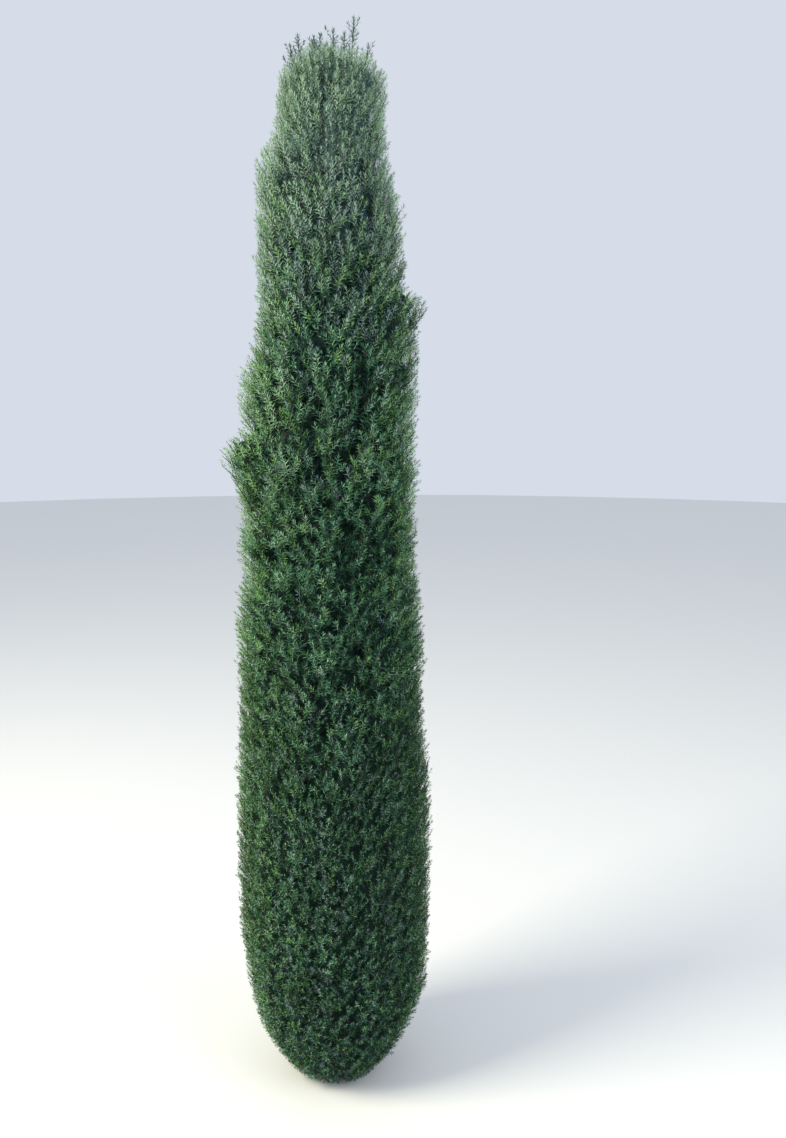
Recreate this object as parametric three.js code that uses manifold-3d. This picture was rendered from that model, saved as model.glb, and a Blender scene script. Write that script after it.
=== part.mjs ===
// A columnar juniper as it stands in a garden bed: one trunk that runs up through the crown, steep
// boughs that leave it all round, and a dense mass of foliage at the tip of each bough. Each mass has
// a core, twigs that grow out of it from one stem, and sprays of needles on the twigs.
// Millimetres, +Z up. The origin is the middle of the flat cut under the trunk, at ground level.
// -Y faces the viewer. An azimuth is measured from +X towards +Y.

import * as THREE from "three";
import { mergeVertices } from "three/addons/utils/BufferGeometryUtils.js";
import Module from "manifold-3d";

const wasm = await Module();
wasm.setup();

// Crown outline: height and radius where the slope changes, from the foot to the blunt top.
const CROWN_OUTLINE = [
  [0, 88],
  [60, 140],
  [160, 190],
  [360, 219],
  [660, 217],
  [1220, 200],
  [1570, 193],
  [1780, 167],
  [1990, 147],
  [2190, 117],
  [2262, 86],
  [2296, 0],
];

// Plumes that stand out of the column a little: height, azimuth in degrees, and extra reach.
const PLUMES = [
  { height: 1450, azimuth: 183, reach: 34 },
  { height: 1750, azimuth: 8, reach: 14 },
  { height: 1230, azimuth: 70, reach: 16 },
  { height: 880, azimuth: 128, reach: 12 },
  { height: 560, azimuth: 300, reach: 8 },
];
const PLUME_HEIGHT = 95;
const PLUME_WIDTH = THREE.MathUtils.degToRad(32);

// Leader shoots that stand above the blunt top: offset to the side, offset in depth, and tip height.
const LEADERS = [
  [55, -14, 2350],
  [34, 26, 2333],
  [14, -38, 2320],
  [-16, 8, 2325],
  [-34, 42, 2322],
  [-60, -12, 2318],
  [-79, 22, 2308],
  [84, 16, 2308],
  [8, 64, 2312],
  [-24, -58, 2300],
];
const LEADER_ROOT_HEIGHT = 2155;

// Shoots climb this much for each millimetre outwards, and so do the seams between the tiers.
const CLIMB = 1.3;
const SIDES = 5;
const TIERS = 5;
const LOWEST_SEAM = -190;
const HIGHEST_SEAM = 1930;
const SEAM_SHIFTS = [0, 0.34, -0.26, 0.16, -0.38];
const SIDE_ANGLE = (2 * Math.PI) / SIDES;
const FIRST_SIDE = THREE.MathUtils.degToRad(-90);
const SWAY_ANGLE = THREE.MathUtils.degToRad(7);
const SWAY_WAVELENGTH = 1400;

// Trunk, with its root flare at the ground.
const TRUNK_HEIGHT = 1915;
const TRUNK_FOOT_RADIUS = 28;
const TRUNK_TIP_RADIUS = 7;
const TRUNK_SIDES = 10;
const TRUNK_RINGS = 13;
const RING_CROWDING = 1.5;
const TRUNK_WANDER = 5;
const WANDER_TURNS = { x: 5.2, y: 7.7 };
const FLARE_REACH = 15;
const FLARE_HEIGHT = 32;
const FLARE_ROOTS = 5;
const FLARE_LOBES = 0.25;

// Boughs: how far below its entry into the mass a bough leaves the trunk, how far above the mass's lower
// seam it enters, and its radii. The bend is where it turns upright, as a share of its rise.
const BOUGH_RISE = 125;
const BOUGH_ENTRY = 75;
const LOWEST_ENTRY = 150;
const LOWEST_BOUGH_FOOT = 20;
const BOUGH_BEND = 0.4;
const BOUGH_FOOT_RADIUS = 8.5;
const BOUGH_TIP_RADIUS = 5;
const BOUGH_CLEARANCE = 8;
const BEND_CLEARANCE = 12;
const BOUGH_SIDES = 5;
const BOUGH_RINGS = 2;

// Clear distances between neighbours.
const JOINT_GAP = 0.3;
const CAVITY = 30;
const CORE_GAP = 5;
const SPACE_MARGIN = 4;
const SIDE_MARGIN = 2;
const GROUND_GAP = 12;
const SPRAY_GROUND_GAP = 4;

// Cores, as a share of the crown's radius, and the rows of their surface.
const CORE_SHARE = 0.78;
const CORE_ROUGHNESS = 0.07;
const CORE_COLUMNS = 3;
const CORE_ROWS = 2;
const STEM_DEPTH = 0.45;
const STEM_RISE = 0.7;
const STEM_BEND = 30;
const STEM_TIP_RADIUS = 4;
const STEM_RINGS = 2;

// Twigs: how far apart they leave the stem, how deep in the mass they fork, and where they spread to.
const TWIG_SPACING = 98;
const FOOT_TWIG_SPACING = 78;
const FOOT_CROWDING = 1.5;
const LOWEST_TWIG_LEVEL = -95;
const TWIG_DEPTH = 0.4;
const TWIG_SPREAD = 0.35;
const FORK_ANGLE = THREE.MathUtils.degToRad(42);
const TURN_SPREAD = 0.12;
const CLIMB_SPREAD = 0.14;
const REACH_SPREAD = 0.03;

// Shoots near the ground lean out more: their climb, as a share of the others', and up to what height.
const FOOT_CLIMB = 0.42;
const FOOT_HEIGHT = 170;

// Sprays: how far their tufts stand out, their whorls, and the length from the tip that bears needles.
const MAIN_SPRAY = { breadth: 27, whorls: 2, needles: 96 };
const SIDE_SPRAY = { breadth: 27, whorls: 1, needles: 70 };
const LEADER_SPRAY = { breadth: 13, whorls: 2, needles: 120 };
const SPRAY_STEM = 4;
const SPRAY_SIDES = 3;
const WHORL_TAPER = 0.25;
const TUFT_LIFT = 0.62;
const TIP_WAIST = 0.45;
const SHORTEST_BARE = 0.15;
const SPRAY_TRIES = 6;
const SHORTEST_SPRAY = 55;

// The top: its core's dome, its twigs, and how steeply its shoots climb.
const TOP_CORE_HEIGHTS = [2120, 2180];
const TOP_CORE_SUMMIT = 2215;
const TOP_CORE_RIM = 2080;
const TOP_CORE_SIDES = 9;
const TOP_STEM_LENGTH = 160;
const TOP_TWIGS = 10;
const TOP_TWIG_HEIGHTS = [2015, 2140];
const TOP_TWIG_DEPTH = 0.35;
const TOP_CLIMBS = [1.25, 1.9];
const LEADER_LEAN = 0.85;

// How a place in a mass is found: the passes, and the share of the way that each one goes.
const PLACE_PASSES = 12;
const PLACE_STEP = 0.6;
const GROWTH_STEP = 2;
const MERGE_DISTANCE = 1e-3;

// Seeds of the random numbers.
const FIRST_SEED = 101;
const SIDE_SEED = 17;
const TIER_SEED = 211;
const TOP_SEED = 907;
const GOLDEN_SHARE = (Math.sqrt(5) - 1) / 2;
const AHEAD = new THREE.Vector3(0, 1, 0);

// Gives the same numbers from 0 to 1 each time for the same seed.
function seeded(seed) {
  let state = seed >>> 0;
  return () => {
    state = (state + 0x6d2b79f5) >>> 0;
    let mixed = Math.imul(state ^ (state >>> 15), state | 1);
    mixed ^= mixed + Math.imul(mixed ^ (mixed >>> 7), mixed | 61);
    return ((mixed ^ (mixed >>> 14)) >>> 0) / 2 ** 32;
  };
}

// A number between -size and size.
function spread(random, size) {
  return (2 * random() - 1) * size;
}

function polar(radius, azimuth, height) {
  return new THREE.Vector3(radius * Math.cos(azimuth), radius * Math.sin(azimuth), height);
}

// The turn from one azimuth to another, between minus and plus half a circle.
function turnBetween(from, to) {
  return Math.atan2(Math.sin(to - from), Math.cos(to - from));
}

function crownRadius(height) {
  const last = CROWN_OUTLINE.length - 1;
  if (height <= CROWN_OUTLINE[0][0]) return CROWN_OUTLINE[0][1];
  if (height >= CROWN_OUTLINE[last][0]) return CROWN_OUTLINE[last][1];
  const upper = CROWN_OUTLINE.findIndex(([station]) => station > height);
  const [lowHeight, lowRadius] = CROWN_OUTLINE[upper - 1];
  const [highHeight, highRadius] = CROWN_OUTLINE[upper];
  const share = (height - lowHeight) / (highHeight - lowHeight);
  return THREE.MathUtils.lerp(lowRadius, highRadius, share);
}

// How far the crown reaches from the trunk's axis, plumes included.
function crownReach(azimuth, height) {
  const extra = PLUMES.map((plume) => {
    const rise = (height - plume.height) / PLUME_HEIGHT;
    const turn = turnBetween(THREE.MathUtils.degToRad(plume.azimuth), azimuth) / PLUME_WIDTH;
    return plume.reach * Math.exp(-rise * rise - turn * turn);
  });
  return extra.reduce((sum, reach) => sum + reach, crownRadius(height));
}

function trunkRadius(height) {
  const share = THREE.MathUtils.clamp(height / TRUNK_HEIGHT, 0, 1);
  return THREE.MathUtils.lerp(TRUNK_FOOT_RADIUS, TRUNK_TIP_RADIUS, share);
}

// The trunk's middle at a height: it stands upright and wanders by a few millimetres.
function trunkMiddle(height) {
  const share = height / TRUNK_HEIGHT;
  const x = TRUNK_WANDER * Math.sin(WANDER_TURNS.x * share);
  const y = TRUNK_WANDER * Math.sin(WANDER_TURNS.y * share);
  return new THREE.Vector3(x, y, height);
}

function cavityRadius(height) {
  return trunkRadius(height) + CAVITY;
}

function sideCentre(side, height) {
  const sway = SWAY_ANGLE * Math.sin((2 * Math.PI * height) / SWAY_WAVELENGTH);
  return FIRST_SIDE + side * SIDE_ANGLE + sway;
}

// The level of the seam under a tier on one side: the height at which it would meet the axis.
function seamLevel(side, tier) {
  if (tier === 0) return LOWEST_SEAM;
  if (tier === TIERS) return HIGHEST_SEAM;
  const share = (tier + SEAM_SHIFTS[side]) / TIERS;
  return THREE.MathUtils.lerp(LOWEST_SEAM, HIGHEST_SEAM, share);
}

function levelOf(point) {
  return point.z - CLIMB * Math.hypot(point.x, point.y);
}

// A closed geometry as a solid, turned to face out.
function solidOf(geometry) {
  const bare = geometry.clone();
  bare.deleteAttribute("normal");
  bare.deleteAttribute("uv");
  const merged = mergeVertices(bare, MERGE_DISTANCE);
  const mesh = { numProp: 3, vertProperties: merged.attributes.position.array };
  const corners = new Uint32Array(merged.index.array);
  const made = new wasm.Manifold(new wasm.Mesh({ ...mesh, triVerts: corners }));
  if (made.volume() > 0) return made;
  return new wasm.Manifold(new wasm.Mesh({ ...mesh, triVerts: corners.reverse() }));
}

// Joins solids into one, fills hollows that the joining seals, and drops loose scraps.
function fused(solids) {
  const bodies = wasm.Manifold.union(solids).decompose();
  return bodies.reduce((largest, body) => (body.volume() > largest.volume() ? body : largest));
}

function geometryOf(solid) {
  const mesh = solid.getMesh();
  const geometry = new THREE.BufferGeometry();
  geometry.setAttribute("position", new THREE.BufferAttribute(mesh.vertProperties, mesh.numProp));
  geometry.setIndex(new THREE.BufferAttribute(mesh.triVerts, 1));
  geometry.computeVertexNormals();
  return geometry;
}

// Moves every vertex of a geometry to where the given function of its place and index puts it.
function warped(geometry, place) {
  const positions = geometry.attributes.position;
  const point = new THREE.Vector3();
  for (let index = 0; index < positions.count; index++) {
    point.fromBufferAttribute(positions, index);
    const moved = place(point, index);
    positions.setXYZ(index, moved.x, moved.y, moved.z);
  }
  return geometry;
}

// A tapering limb along a curve, with a flat cut at each end.
function limb(curve, footRadius, tipRadius, sides, rings) {
  const frames = curve.computeFrenetFrames(rings, false);
  return warped(new THREE.CylinderGeometry(1, 1, 1, sides, rings), ({ x, y, z }) => {
    const share = y + 0.5;
    const ring = Math.round(share * rings);
    const radius = THREE.MathUtils.lerp(footRadius, tipRadius, share);
    return curve
      .getPointAt(share)
      .addScaledVector(frames.normals[ring], x * radius)
      .addScaledVector(frames.binormals[ring], -z * radius);
  });
}

// The trunk: a round column with its taper, its wander and its root flare, inflated by a margin.
function trunkGeometry(margin) {
  const column = new THREE.CylinderGeometry(1, 1, 1, TRUNK_SIDES, TRUNK_RINGS);
  return warped(column, ({ x, y, z }) => {
    const share = y + 0.5;
    const height = TRUNK_HEIGHT * share ** RING_CROWDING;
    const azimuth = Math.atan2(-z, x);
    const lobe = 1 - FLARE_LOBES + FLARE_LOBES * Math.cos(FLARE_ROOTS * azimuth);
    const flare = FLARE_REACH * lobe * Math.exp(-height / FLARE_HEIGHT);
    const radius = (trunkRadius(height) + flare + margin) * Math.hypot(x, z);
    return trunkMiddle(height).add(polar(radius, azimuth, 0));
  });
}

// The height at which a seam meets the cavity round the trunk.
function seamAtCavity(side, tier) {
  return Math.max(seamLevel(side, tier) + CLIMB * (TRUNK_FOOT_RADIUS + CAVITY), GROUND_GAP);
}

// The path of the bough that carries a mass, from inside the trunk to where it enters the mass.
function boughCurve(side, tier) {
  const low = seamAtCavity(side, tier);
  const middle = (low + seamAtCavity(side, tier + 1)) / 2;
  const entry = Math.max(low + BOUGH_ENTRY, Math.min(LOWEST_ENTRY, middle));
  const rise = Math.min(BOUGH_RISE, entry - LOWEST_BOUGH_FOOT);
  const azimuth = sideCentre(side, entry);
  const reach = cavityRadius(entry);
  const foot = trunkMiddle(entry - rise);
  const bend = polar(reach - BEND_CLEARANCE, azimuth, entry - (1 - BOUGH_BEND) * rise);
  const tip = polar(reach - BOUGH_CLEARANCE, azimuth, entry);
  return new THREE.QuadraticBezierCurve3(foot, bend, tip);
}

function boughSolid(curve, trunkClearance) {
  const whole = solidOf(limb(curve, BOUGH_FOOT_RADIUS, BOUGH_TIP_RADIUS, BOUGH_SIDES, BOUGH_RINGS));
  return fused([whole.subtract(trunkClearance)]);
}

// A place in a mass. Across runs from -1 to 1 over its width, up from 0 to 1 between its seams, and
// depth from 0 at its inner face to 1 at the face of its core.
function placeInMass(side, tier, across, up, depth) {
  const low = seamLevel(side, tier) + CORE_GAP;
  const high = seamLevel(side, tier + 1) - CORE_GAP;
  const level = THREE.MathUtils.lerp(low, high, up);
  const heightAt = (radius) => Math.max(level + CLIMB * radius, GROUND_GAP);
  let radius = cavityRadius(level);
  let azimuth = 0;
  for (let pass = 0; pass < PLACE_PASSES; pass++) {
    const height = heightAt(radius);
    azimuth = sideCentre(side, height) + across * (SIDE_ANGLE / 2 - Math.asin(CORE_GAP / radius));
    const face = CORE_SHARE * crownReach(azimuth, height);
    const wanted = THREE.MathUtils.lerp(cavityRadius(height), face, depth);
    radius = THREE.MathUtils.lerp(radius, wanted, PLACE_STEP);
  }
  return polar(radius, azimuth, heightAt(radius));
}

// The core of a mass: a block between its seams, open towards the trunk, with a rough outer face.
function massCore(side, tier, random) {
  const box = new THREE.BoxGeometry(1, 1, 1, 1, CORE_COLUMNS, CORE_ROWS);
  const bumps = new Map();
  return warped(box, ({ x, y, z }) => {
    const key = [x, y, z].map((value) => value.toFixed(3)).join();
    if (!bumps.has(key)) bumps.set(key, spread(random, CORE_ROUGHNESS));
    const place = placeInMass(side, tier, 2 * y, z + 0.5, x + 0.5);
    const bump = x > 0 ? bumps.get(key) : 0;
    const outwards = new THREE.Vector3(place.x, place.y, CLIMB * Math.hypot(place.x, place.y));
    return place.addScaledVector(outwards, bump);
  });
}

// A spray of needles along +Y: a slim stem, then whorls of three pointed tufts, each whorl turned half
// way between the tufts of the one below it, and a pointed tip.
function sprayGeometry(length, { breadth, whorls, needles }) {
  const bare = Math.max(1 - needles / length, SHORTEST_BARE);
  const along = (share) => THREE.MathUtils.lerp(bare, 1, share) * length;
  const profile = [new THREE.Vector2(0, 0), new THREE.Vector2(SPRAY_STEM, bare * length)];
  for (let whorl = 0; whorl < whorls; whorl++) {
    const size = 1 - WHORL_TAPER * whorl;
    const tuft = (whorl + TUFT_LIFT) / whorls;
    const waist = (whorl + (whorl < whorls - 1 ? 1 : TIP_WAIST)) / whorls;
    profile.push(new THREE.Vector2(breadth * size, along(tuft)));
    profile.push(new THREE.Vector2(SPRAY_STEM * size, along(waist)));
  }
  profile.push(new THREE.Vector2(0, length));
  return warped(new THREE.LatheGeometry(profile, SPRAY_SIDES), (point, index) => {
    const row = index % profile.length;
    const turn = (Math.max(Math.ceil(row / 2) - 1, 0) * Math.PI) / SPRAY_SIDES;
    return point.clone().applyAxisAngle(AHEAD, turn);
  });
}

// The same spray, grown from a root in a direction and turned about its own stem.
function placedSpray(root, direction, length, shape, roll) {
  const turn = new THREE.Quaternion().setFromUnitVectors(AHEAD, direction);
  const spray = sprayGeometry(length, shape).rotateY(roll).applyQuaternion(turn);
  return spray.translate(root.x, root.y, root.z);
}

// How far a shoot grows from its root before it reaches the crown's outline.
function growthLength(root, direction, share) {
  const point = root.clone();
  let length = 0;
  while (Math.hypot(point.x, point.y) < share * crownReach(Math.atan2(point.y, point.x), point.z)) {
    point.addScaledVector(direction, GROWTH_STEP);
    length += GROWTH_STEP;
  }
  return length;
}

// The direction of a shoot that climbs outwards, turned to the side of straight out.
function climbing(azimuth, turn, climb) {
  return polar(1, azimuth + turn, climb).normalize();
}

// True if every vertex stays between the mass's seams, between its sides and above the ground.
function keepsToSpace(geometry, side, tier) {
  const low = seamLevel(side, tier) + SPACE_MARGIN;
  const high = seamLevel(side, tier + 1) - SPACE_MARGIN;
  const positions = geometry.attributes.position;
  const point = new THREE.Vector3();
  for (let index = 0; index < positions.count; index++) {
    point.fromBufferAttribute(positions, index);
    const turn = turnBetween(sideCentre(side, point.z), Math.atan2(point.y, point.x));
    const toSide = Math.hypot(point.x, point.y) * Math.sin(SIDE_ANGLE / 2 - Math.abs(turn));
    if (levelOf(point) < low || levelOf(point) > high) return false;
    if (toSide < SIDE_MARGIN || point.z < SPRAY_GROUND_GAP) return false;
  }
  return true;
}

// How steeply shoots climb from a root: those near the ground lean out.
function climbFrom(root) {
  return CLIMB * THREE.MathUtils.lerp(FOOT_CLIMB, 1, THREE.MathUtils.clamp(root.z / FOOT_HEIGHT, 0, 1));
}

// Tries a spray in slightly different directions until one fits. Gives null if none does.
function fittingSpray(root, climb, turn, shape, random, fits) {
  const azimuth = Math.atan2(root.y, root.x);
  for (let attempt = 0; attempt < SPRAY_TRIES; attempt++) {
    const easing = 1 - attempt / SPRAY_TRIES;
    const steepness = climb * (1 + spread(random, CLIMB_SPREAD));
    const direction = climbing(azimuth, turn * easing + spread(random, TURN_SPREAD), steepness);
    const length = growthLength(root, direction, 1 + spread(random, REACH_SPREAD));
    const spray = placedSpray(root, direction, length, shape, random() * Math.PI);
    if (length >= SHORTEST_SPRAY && fits(spray)) return spray;
  }
  return null;
}

// A twig that forks into three sprays: one straight on, and one to each side.
function forkedTwig(root, climb, random, fits) {
  const sprays = [
    fittingSpray(root, climb, 0, MAIN_SPRAY, random, fits),
    fittingSpray(root, climb, -FORK_ANGLE, SIDE_SPRAY, random, fits),
    fittingSpray(root, climb, FORK_ANGLE, SIDE_SPRAY, random, fits),
  ];
  return sprays.filter((spray) => spray !== null);
}

// The foliage at the tip of one bough: its stem, its core, and the twigs and sprays on it.
function massSolid(side, tier, bough) {
  const random = seeded(FIRST_SEED + SIDE_SEED * side + TIER_SEED * tier);
  const fits = (geometry) => keepsToSpace(geometry, side, tier);
  const stemFoot = bough.getPoint(1).addScaledVector(bough.getTangent(1), JOINT_GAP);
  const stemEnd = placeInMass(side, tier, 0, STEM_RISE, STEM_DEPTH);
  const stemBend = stemFoot.clone().addScaledVector(bough.getTangent(1), STEM_BEND);
  const stem = new THREE.QuadraticBezierCurve3(stemFoot, stemBend, stemEnd);
  const parts = [
    massCore(side, tier, random),
    limb(stem, BOUGH_TIP_RADIUS, STEM_TIP_RADIUS, BOUGH_SIDES, STEM_RINGS),
  ];
  const low = seamLevel(side, tier);
  const high = seamLevel(side, tier + 1);
  const lowest = Math.max(low, LOWEST_TWIG_LEVEL);
  const twigs = Math.round((high - lowest) / (tier === 0 ? FOOT_TWIG_SPACING : TWIG_SPACING));
  const crowding = tier === 0 ? FOOT_CROWDING : 1;
  const first = random();
  for (let twig = 0; twig < twigs; twig++) {
    const level = THREE.MathUtils.lerp(lowest, high, ((twig + 0.5) / twigs) ** crowding);
    const across = 2 * TWIG_SPREAD * (((first + twig * GOLDEN_SHARE) % 1) - 0.5);
    const root = placeInMass(side, tier, across, (level - low) / (high - low), TWIG_DEPTH);
    parts.push(...forkedTwig(root, climbFrom(root), random, fits));
  }
  return fused(parts.map(solidOf));
}

// True if every vertex lies over the highest seam, which parts the top from the masses below it.
function keepsToTop(geometry) {
  const positions = geometry.attributes.position;
  const point = new THREE.Vector3();
  for (let index = 0; index < positions.count; index++) {
    point.fromBufferAttribute(positions, index);
    if (levelOf(point) < HIGHEST_SEAM + SPACE_MARGIN) return false;
  }
  return true;
}

// The core of the top: a dome over the highest seam.
function topCore() {
  const rim = CORE_SHARE * crownRadius(TOP_CORE_RIM);
  const profile = [
    new THREE.Vector2(0, HIGHEST_SEAM + CORE_GAP),
    new THREE.Vector2(rim, HIGHEST_SEAM + CORE_GAP + CLIMB * rim),
    ...TOP_CORE_HEIGHTS.map((height) => new THREE.Vector2(CORE_SHARE * crownRadius(height), height)),
    new THREE.Vector2(0, TOP_CORE_SUMMIT),
  ];
  return new THREE.LatheGeometry(profile, TOP_CORE_SIDES).rotateX(Math.PI / 2);
}

// A leader shoot that stands above the crown's blunt top.
function leaderShoot([x, y, tipHeight], index) {
  const tip = new THREE.Vector3(x, y, tipHeight);
  const root = new THREE.Vector3(LEADER_LEAN * x, LEADER_LEAN * y, LEADER_ROOT_HEIGHT);
  const direction = tip.clone().sub(root).normalize();
  return placedSpray(root, direction, tip.distanceTo(root), LEADER_SPRAY, index);
}

// The foliage on the trunk's tip: its stem, its core, its twigs and sprays, and the leader shoots.
function topSolid() {
  const random = seeded(TOP_SEED);
  const foot = trunkMiddle(TRUNK_HEIGHT).add(new THREE.Vector3(0, 0, JOINT_GAP));
  const tip = foot.clone().add(new THREE.Vector3(0, 0, TOP_STEM_LENGTH));
  const stem = limb(new THREE.LineCurve3(foot, tip), TRUNK_TIP_RADIUS, STEM_TIP_RADIUS, BOUGH_SIDES, 1);
  const parts = [stem, topCore(), ...LEADERS.map(leaderShoot)];
  for (let twig = 0; twig < TOP_TWIGS; twig++) {
    const azimuth = FIRST_SIDE + twig * 2 * Math.PI * GOLDEN_SHARE;
    const share = (twig + 0.5) / TOP_TWIGS;
    const height = THREE.MathUtils.lerp(...TOP_TWIG_HEIGHTS, share);
    const root = polar(TOP_TWIG_DEPTH * crownRadius(height), azimuth, height);
    parts.push(...forkedTwig(root, THREE.MathUtils.lerp(...TOP_CLIMBS, share), random, keepsToTop));
  }
  return fused(parts.map(solidOf));
}

const bark = new THREE.MeshStandardMaterial({ color: 0x6b5546, roughness: 0.9, metalness: 0 });
const foliage = new THREE.MeshStandardMaterial({ color: 0x3d5a48, roughness: 0.75, metalness: 0 });

function namedMesh(name, solid, material) {
  const mesh = new THREE.Mesh(geometryOf(solid), material);
  mesh.name = name;
  return mesh;
}

const juniper = new THREE.Group();
const trunkClearance = solidOf(trunkGeometry(JOINT_GAP));
juniper.add(namedMesh("trunk", solidOf(trunkGeometry(0)), bark));
for (let tier = 0; tier < TIERS; tier++) {
  for (let side = 0; side < SIDES; side++) {
    const place = `tier${tier + 1}_side${side + 1}`;
    const bough = boughCurve(side, tier);
    juniper.add(namedMesh(`bough_${place}`, boughSolid(bough, trunkClearance), bark));
    juniper.add(namedMesh(`foliage_${place}`, massSolid(side, tier, bough), foliage));
  }
}
juniper.add(namedMesh("foliage_top", topSolid(), foliage));

export default juniper;
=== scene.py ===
"""A columnar juniper for rendering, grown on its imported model.

Metres, +Z up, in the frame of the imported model: the origin is the middle of the flat cut under the
trunk, -Y faces the viewer, and an azimuth is measured from +X towards +Y. The trunk, the boughs, the
stems of the masses and the roots of their twigs follow the rule of the part's source. Finer twigs,
shoots and needles are grown on from them, out to the same outline.
"""

import logging
import math
from dataclasses import dataclass, field, fields
from enum import Enum, IntEnum
from typing import ClassVar, Iterator

import bpy
import numpy as np
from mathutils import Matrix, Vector


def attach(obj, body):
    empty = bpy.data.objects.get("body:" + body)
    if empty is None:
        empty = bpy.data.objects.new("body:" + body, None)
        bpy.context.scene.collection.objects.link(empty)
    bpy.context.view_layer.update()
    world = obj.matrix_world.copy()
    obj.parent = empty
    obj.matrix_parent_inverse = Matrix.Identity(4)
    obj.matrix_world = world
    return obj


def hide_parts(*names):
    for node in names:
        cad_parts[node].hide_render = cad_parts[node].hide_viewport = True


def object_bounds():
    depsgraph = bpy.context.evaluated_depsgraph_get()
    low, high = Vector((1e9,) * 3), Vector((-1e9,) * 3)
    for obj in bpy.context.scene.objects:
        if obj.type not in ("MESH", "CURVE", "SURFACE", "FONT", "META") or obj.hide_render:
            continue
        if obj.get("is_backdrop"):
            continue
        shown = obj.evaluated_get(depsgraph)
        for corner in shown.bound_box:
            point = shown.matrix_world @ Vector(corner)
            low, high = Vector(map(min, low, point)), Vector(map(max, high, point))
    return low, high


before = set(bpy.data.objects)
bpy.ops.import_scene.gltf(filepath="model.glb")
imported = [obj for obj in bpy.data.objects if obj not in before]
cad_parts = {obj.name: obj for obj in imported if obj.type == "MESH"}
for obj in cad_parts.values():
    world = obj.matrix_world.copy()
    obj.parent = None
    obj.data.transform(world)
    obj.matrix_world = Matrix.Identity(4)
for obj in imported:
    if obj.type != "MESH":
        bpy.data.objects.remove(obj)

Array = np.ndarray
Values = Array | float
Pair = tuple[float, float]
Place = tuple[float, float, float]
Colour = tuple[int, int, int]
Material = bpy.types.Material
Socket = bpy.types.NodeSocket
Entries = dict[str | int, object]

BODY = "root"
GOLDEN_SHARE = (math.sqrt(5) - 1) / 2
FULL_TURN = 2 * math.pi
SHADE_SHARE = 0.72
SHORTEST = 1e-12
HABIT_HEIGHTS = (0.05, 0.75, 1.20, 1.70, 2.15, 2.27)

log = logging.getLogger("juniper")


def seeded(seed: int) -> Iterator[float]:
    """Gives the same numbers from 0 to 1 each time for the same seed, as the source does.

    Args:
        seed: A whole number.

    Returns:
        An endless run of numbers from 0 up to 1.
    """
    mask = 0xFFFFFFFF
    state = seed & mask
    while True:
        state = (state + 0x6D2B79F5) & mask
        mixed = ((state ^ (state >> 15)) * (state | 1)) & mask
        mixed ^= (mixed + (((mixed ^ (mixed >> 7)) * (mixed | 61)) & mask)) & mask
        yield ((mixed ^ (mixed >> 14)) & mask) / 2**32


def lerp(start: Values, end: Values, share: Values) -> Values:
    """Goes a share of the way from the start to the end."""
    return start + (end - start) * share


def unit(vectors: Array) -> Array:
    """Scales vectors, held in the last axis, to a length of one."""
    return vectors / np.maximum(np.linalg.norm(vectors, axis=-1, keepdims=True), SHORTEST)


def polar(radius: Values, azimuth: Values, height: Values) -> Array:
    """Gives points from their distance to the axis, their azimuth and their height."""
    parts = np.broadcast_arrays(radius * np.cos(azimuth), radius * np.sin(azimuth), height)
    return np.stack(parts, axis=-1).astype(float)


def radius_of(points: Array) -> Array:
    """Gives the distance of points, held in the last axis, to the plant's axis."""
    return np.hypot(points[..., 0], points[..., 1])


def azimuth_of(points: Array) -> Array:
    """Gives the azimuth of points, held in the last axis."""
    return np.arctan2(points[..., 1], points[..., 0])


def distance(start: Array, end: Array) -> Array:
    """Gives the distance from point to point."""
    return np.linalg.norm(end - start, axis=-1)


def turn_between(start: Values, end: Values) -> Values:
    """Gives the turn from one azimuth to another, between minus and plus half a circle."""
    return np.arctan2(np.sin(end - start), np.cos(end - start))


def placed(name: str, data: bpy.types.ID) -> bpy.types.Object:
    """Puts a new object in the scene.

    Args:
        name: The object's name.
        data: Its mesh, light or camera.

    Returns:
        The object.
    """
    thing = bpy.data.objects.new(name, data)
    bpy.context.scene.collection.objects.link(thing)
    return thing


def linear(part: int) -> float:
    """Turns one part of a colour, from 0 to 255, into the linear part from 0 to 1 that a shader takes."""
    value = part / 255
    return value / 12.92 if value <= 0.04045 else ((value + 0.055) / 1.055) ** 2.4


def linear_colour(colour: Colour) -> tuple[float, ...]:
    """Turns red, green and blue parts into linear ones, with an alpha of one."""
    return *(linear(part) for part in colour), 1.0


@dataclass(frozen=True)
class Course:
    """A value that changes with height: its values at some heights, blended in between."""

    heights: tuple[float, ...]
    values: tuple[float, ...]

    def at(self, height: Values) -> Values:
        """Gives the value at a height."""
        return np.interp(height, self.heights, self.values)


@dataclass(frozen=True)
class Wave:
    """A wave that runs round the plant and up it, and may be bent by another wave."""

    size: float
    around: float
    along: float
    start: float = 0.0
    bend: "Wave | None" = None

    def at(self, azimuth: Array, height: Array) -> Array:
        """Gives the wave's value.

        Args:
            azimuth: Azimuths round the plant.
            height: Heights, one for each azimuth.

        Returns:
            One value for each place.
        """
        phase = self.around * azimuth + self.along * height + self.start
        if self.bend is not None:
            phase = phase + self.bend.at(azimuth, height)
        return self.size * np.sin(phase)


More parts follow.
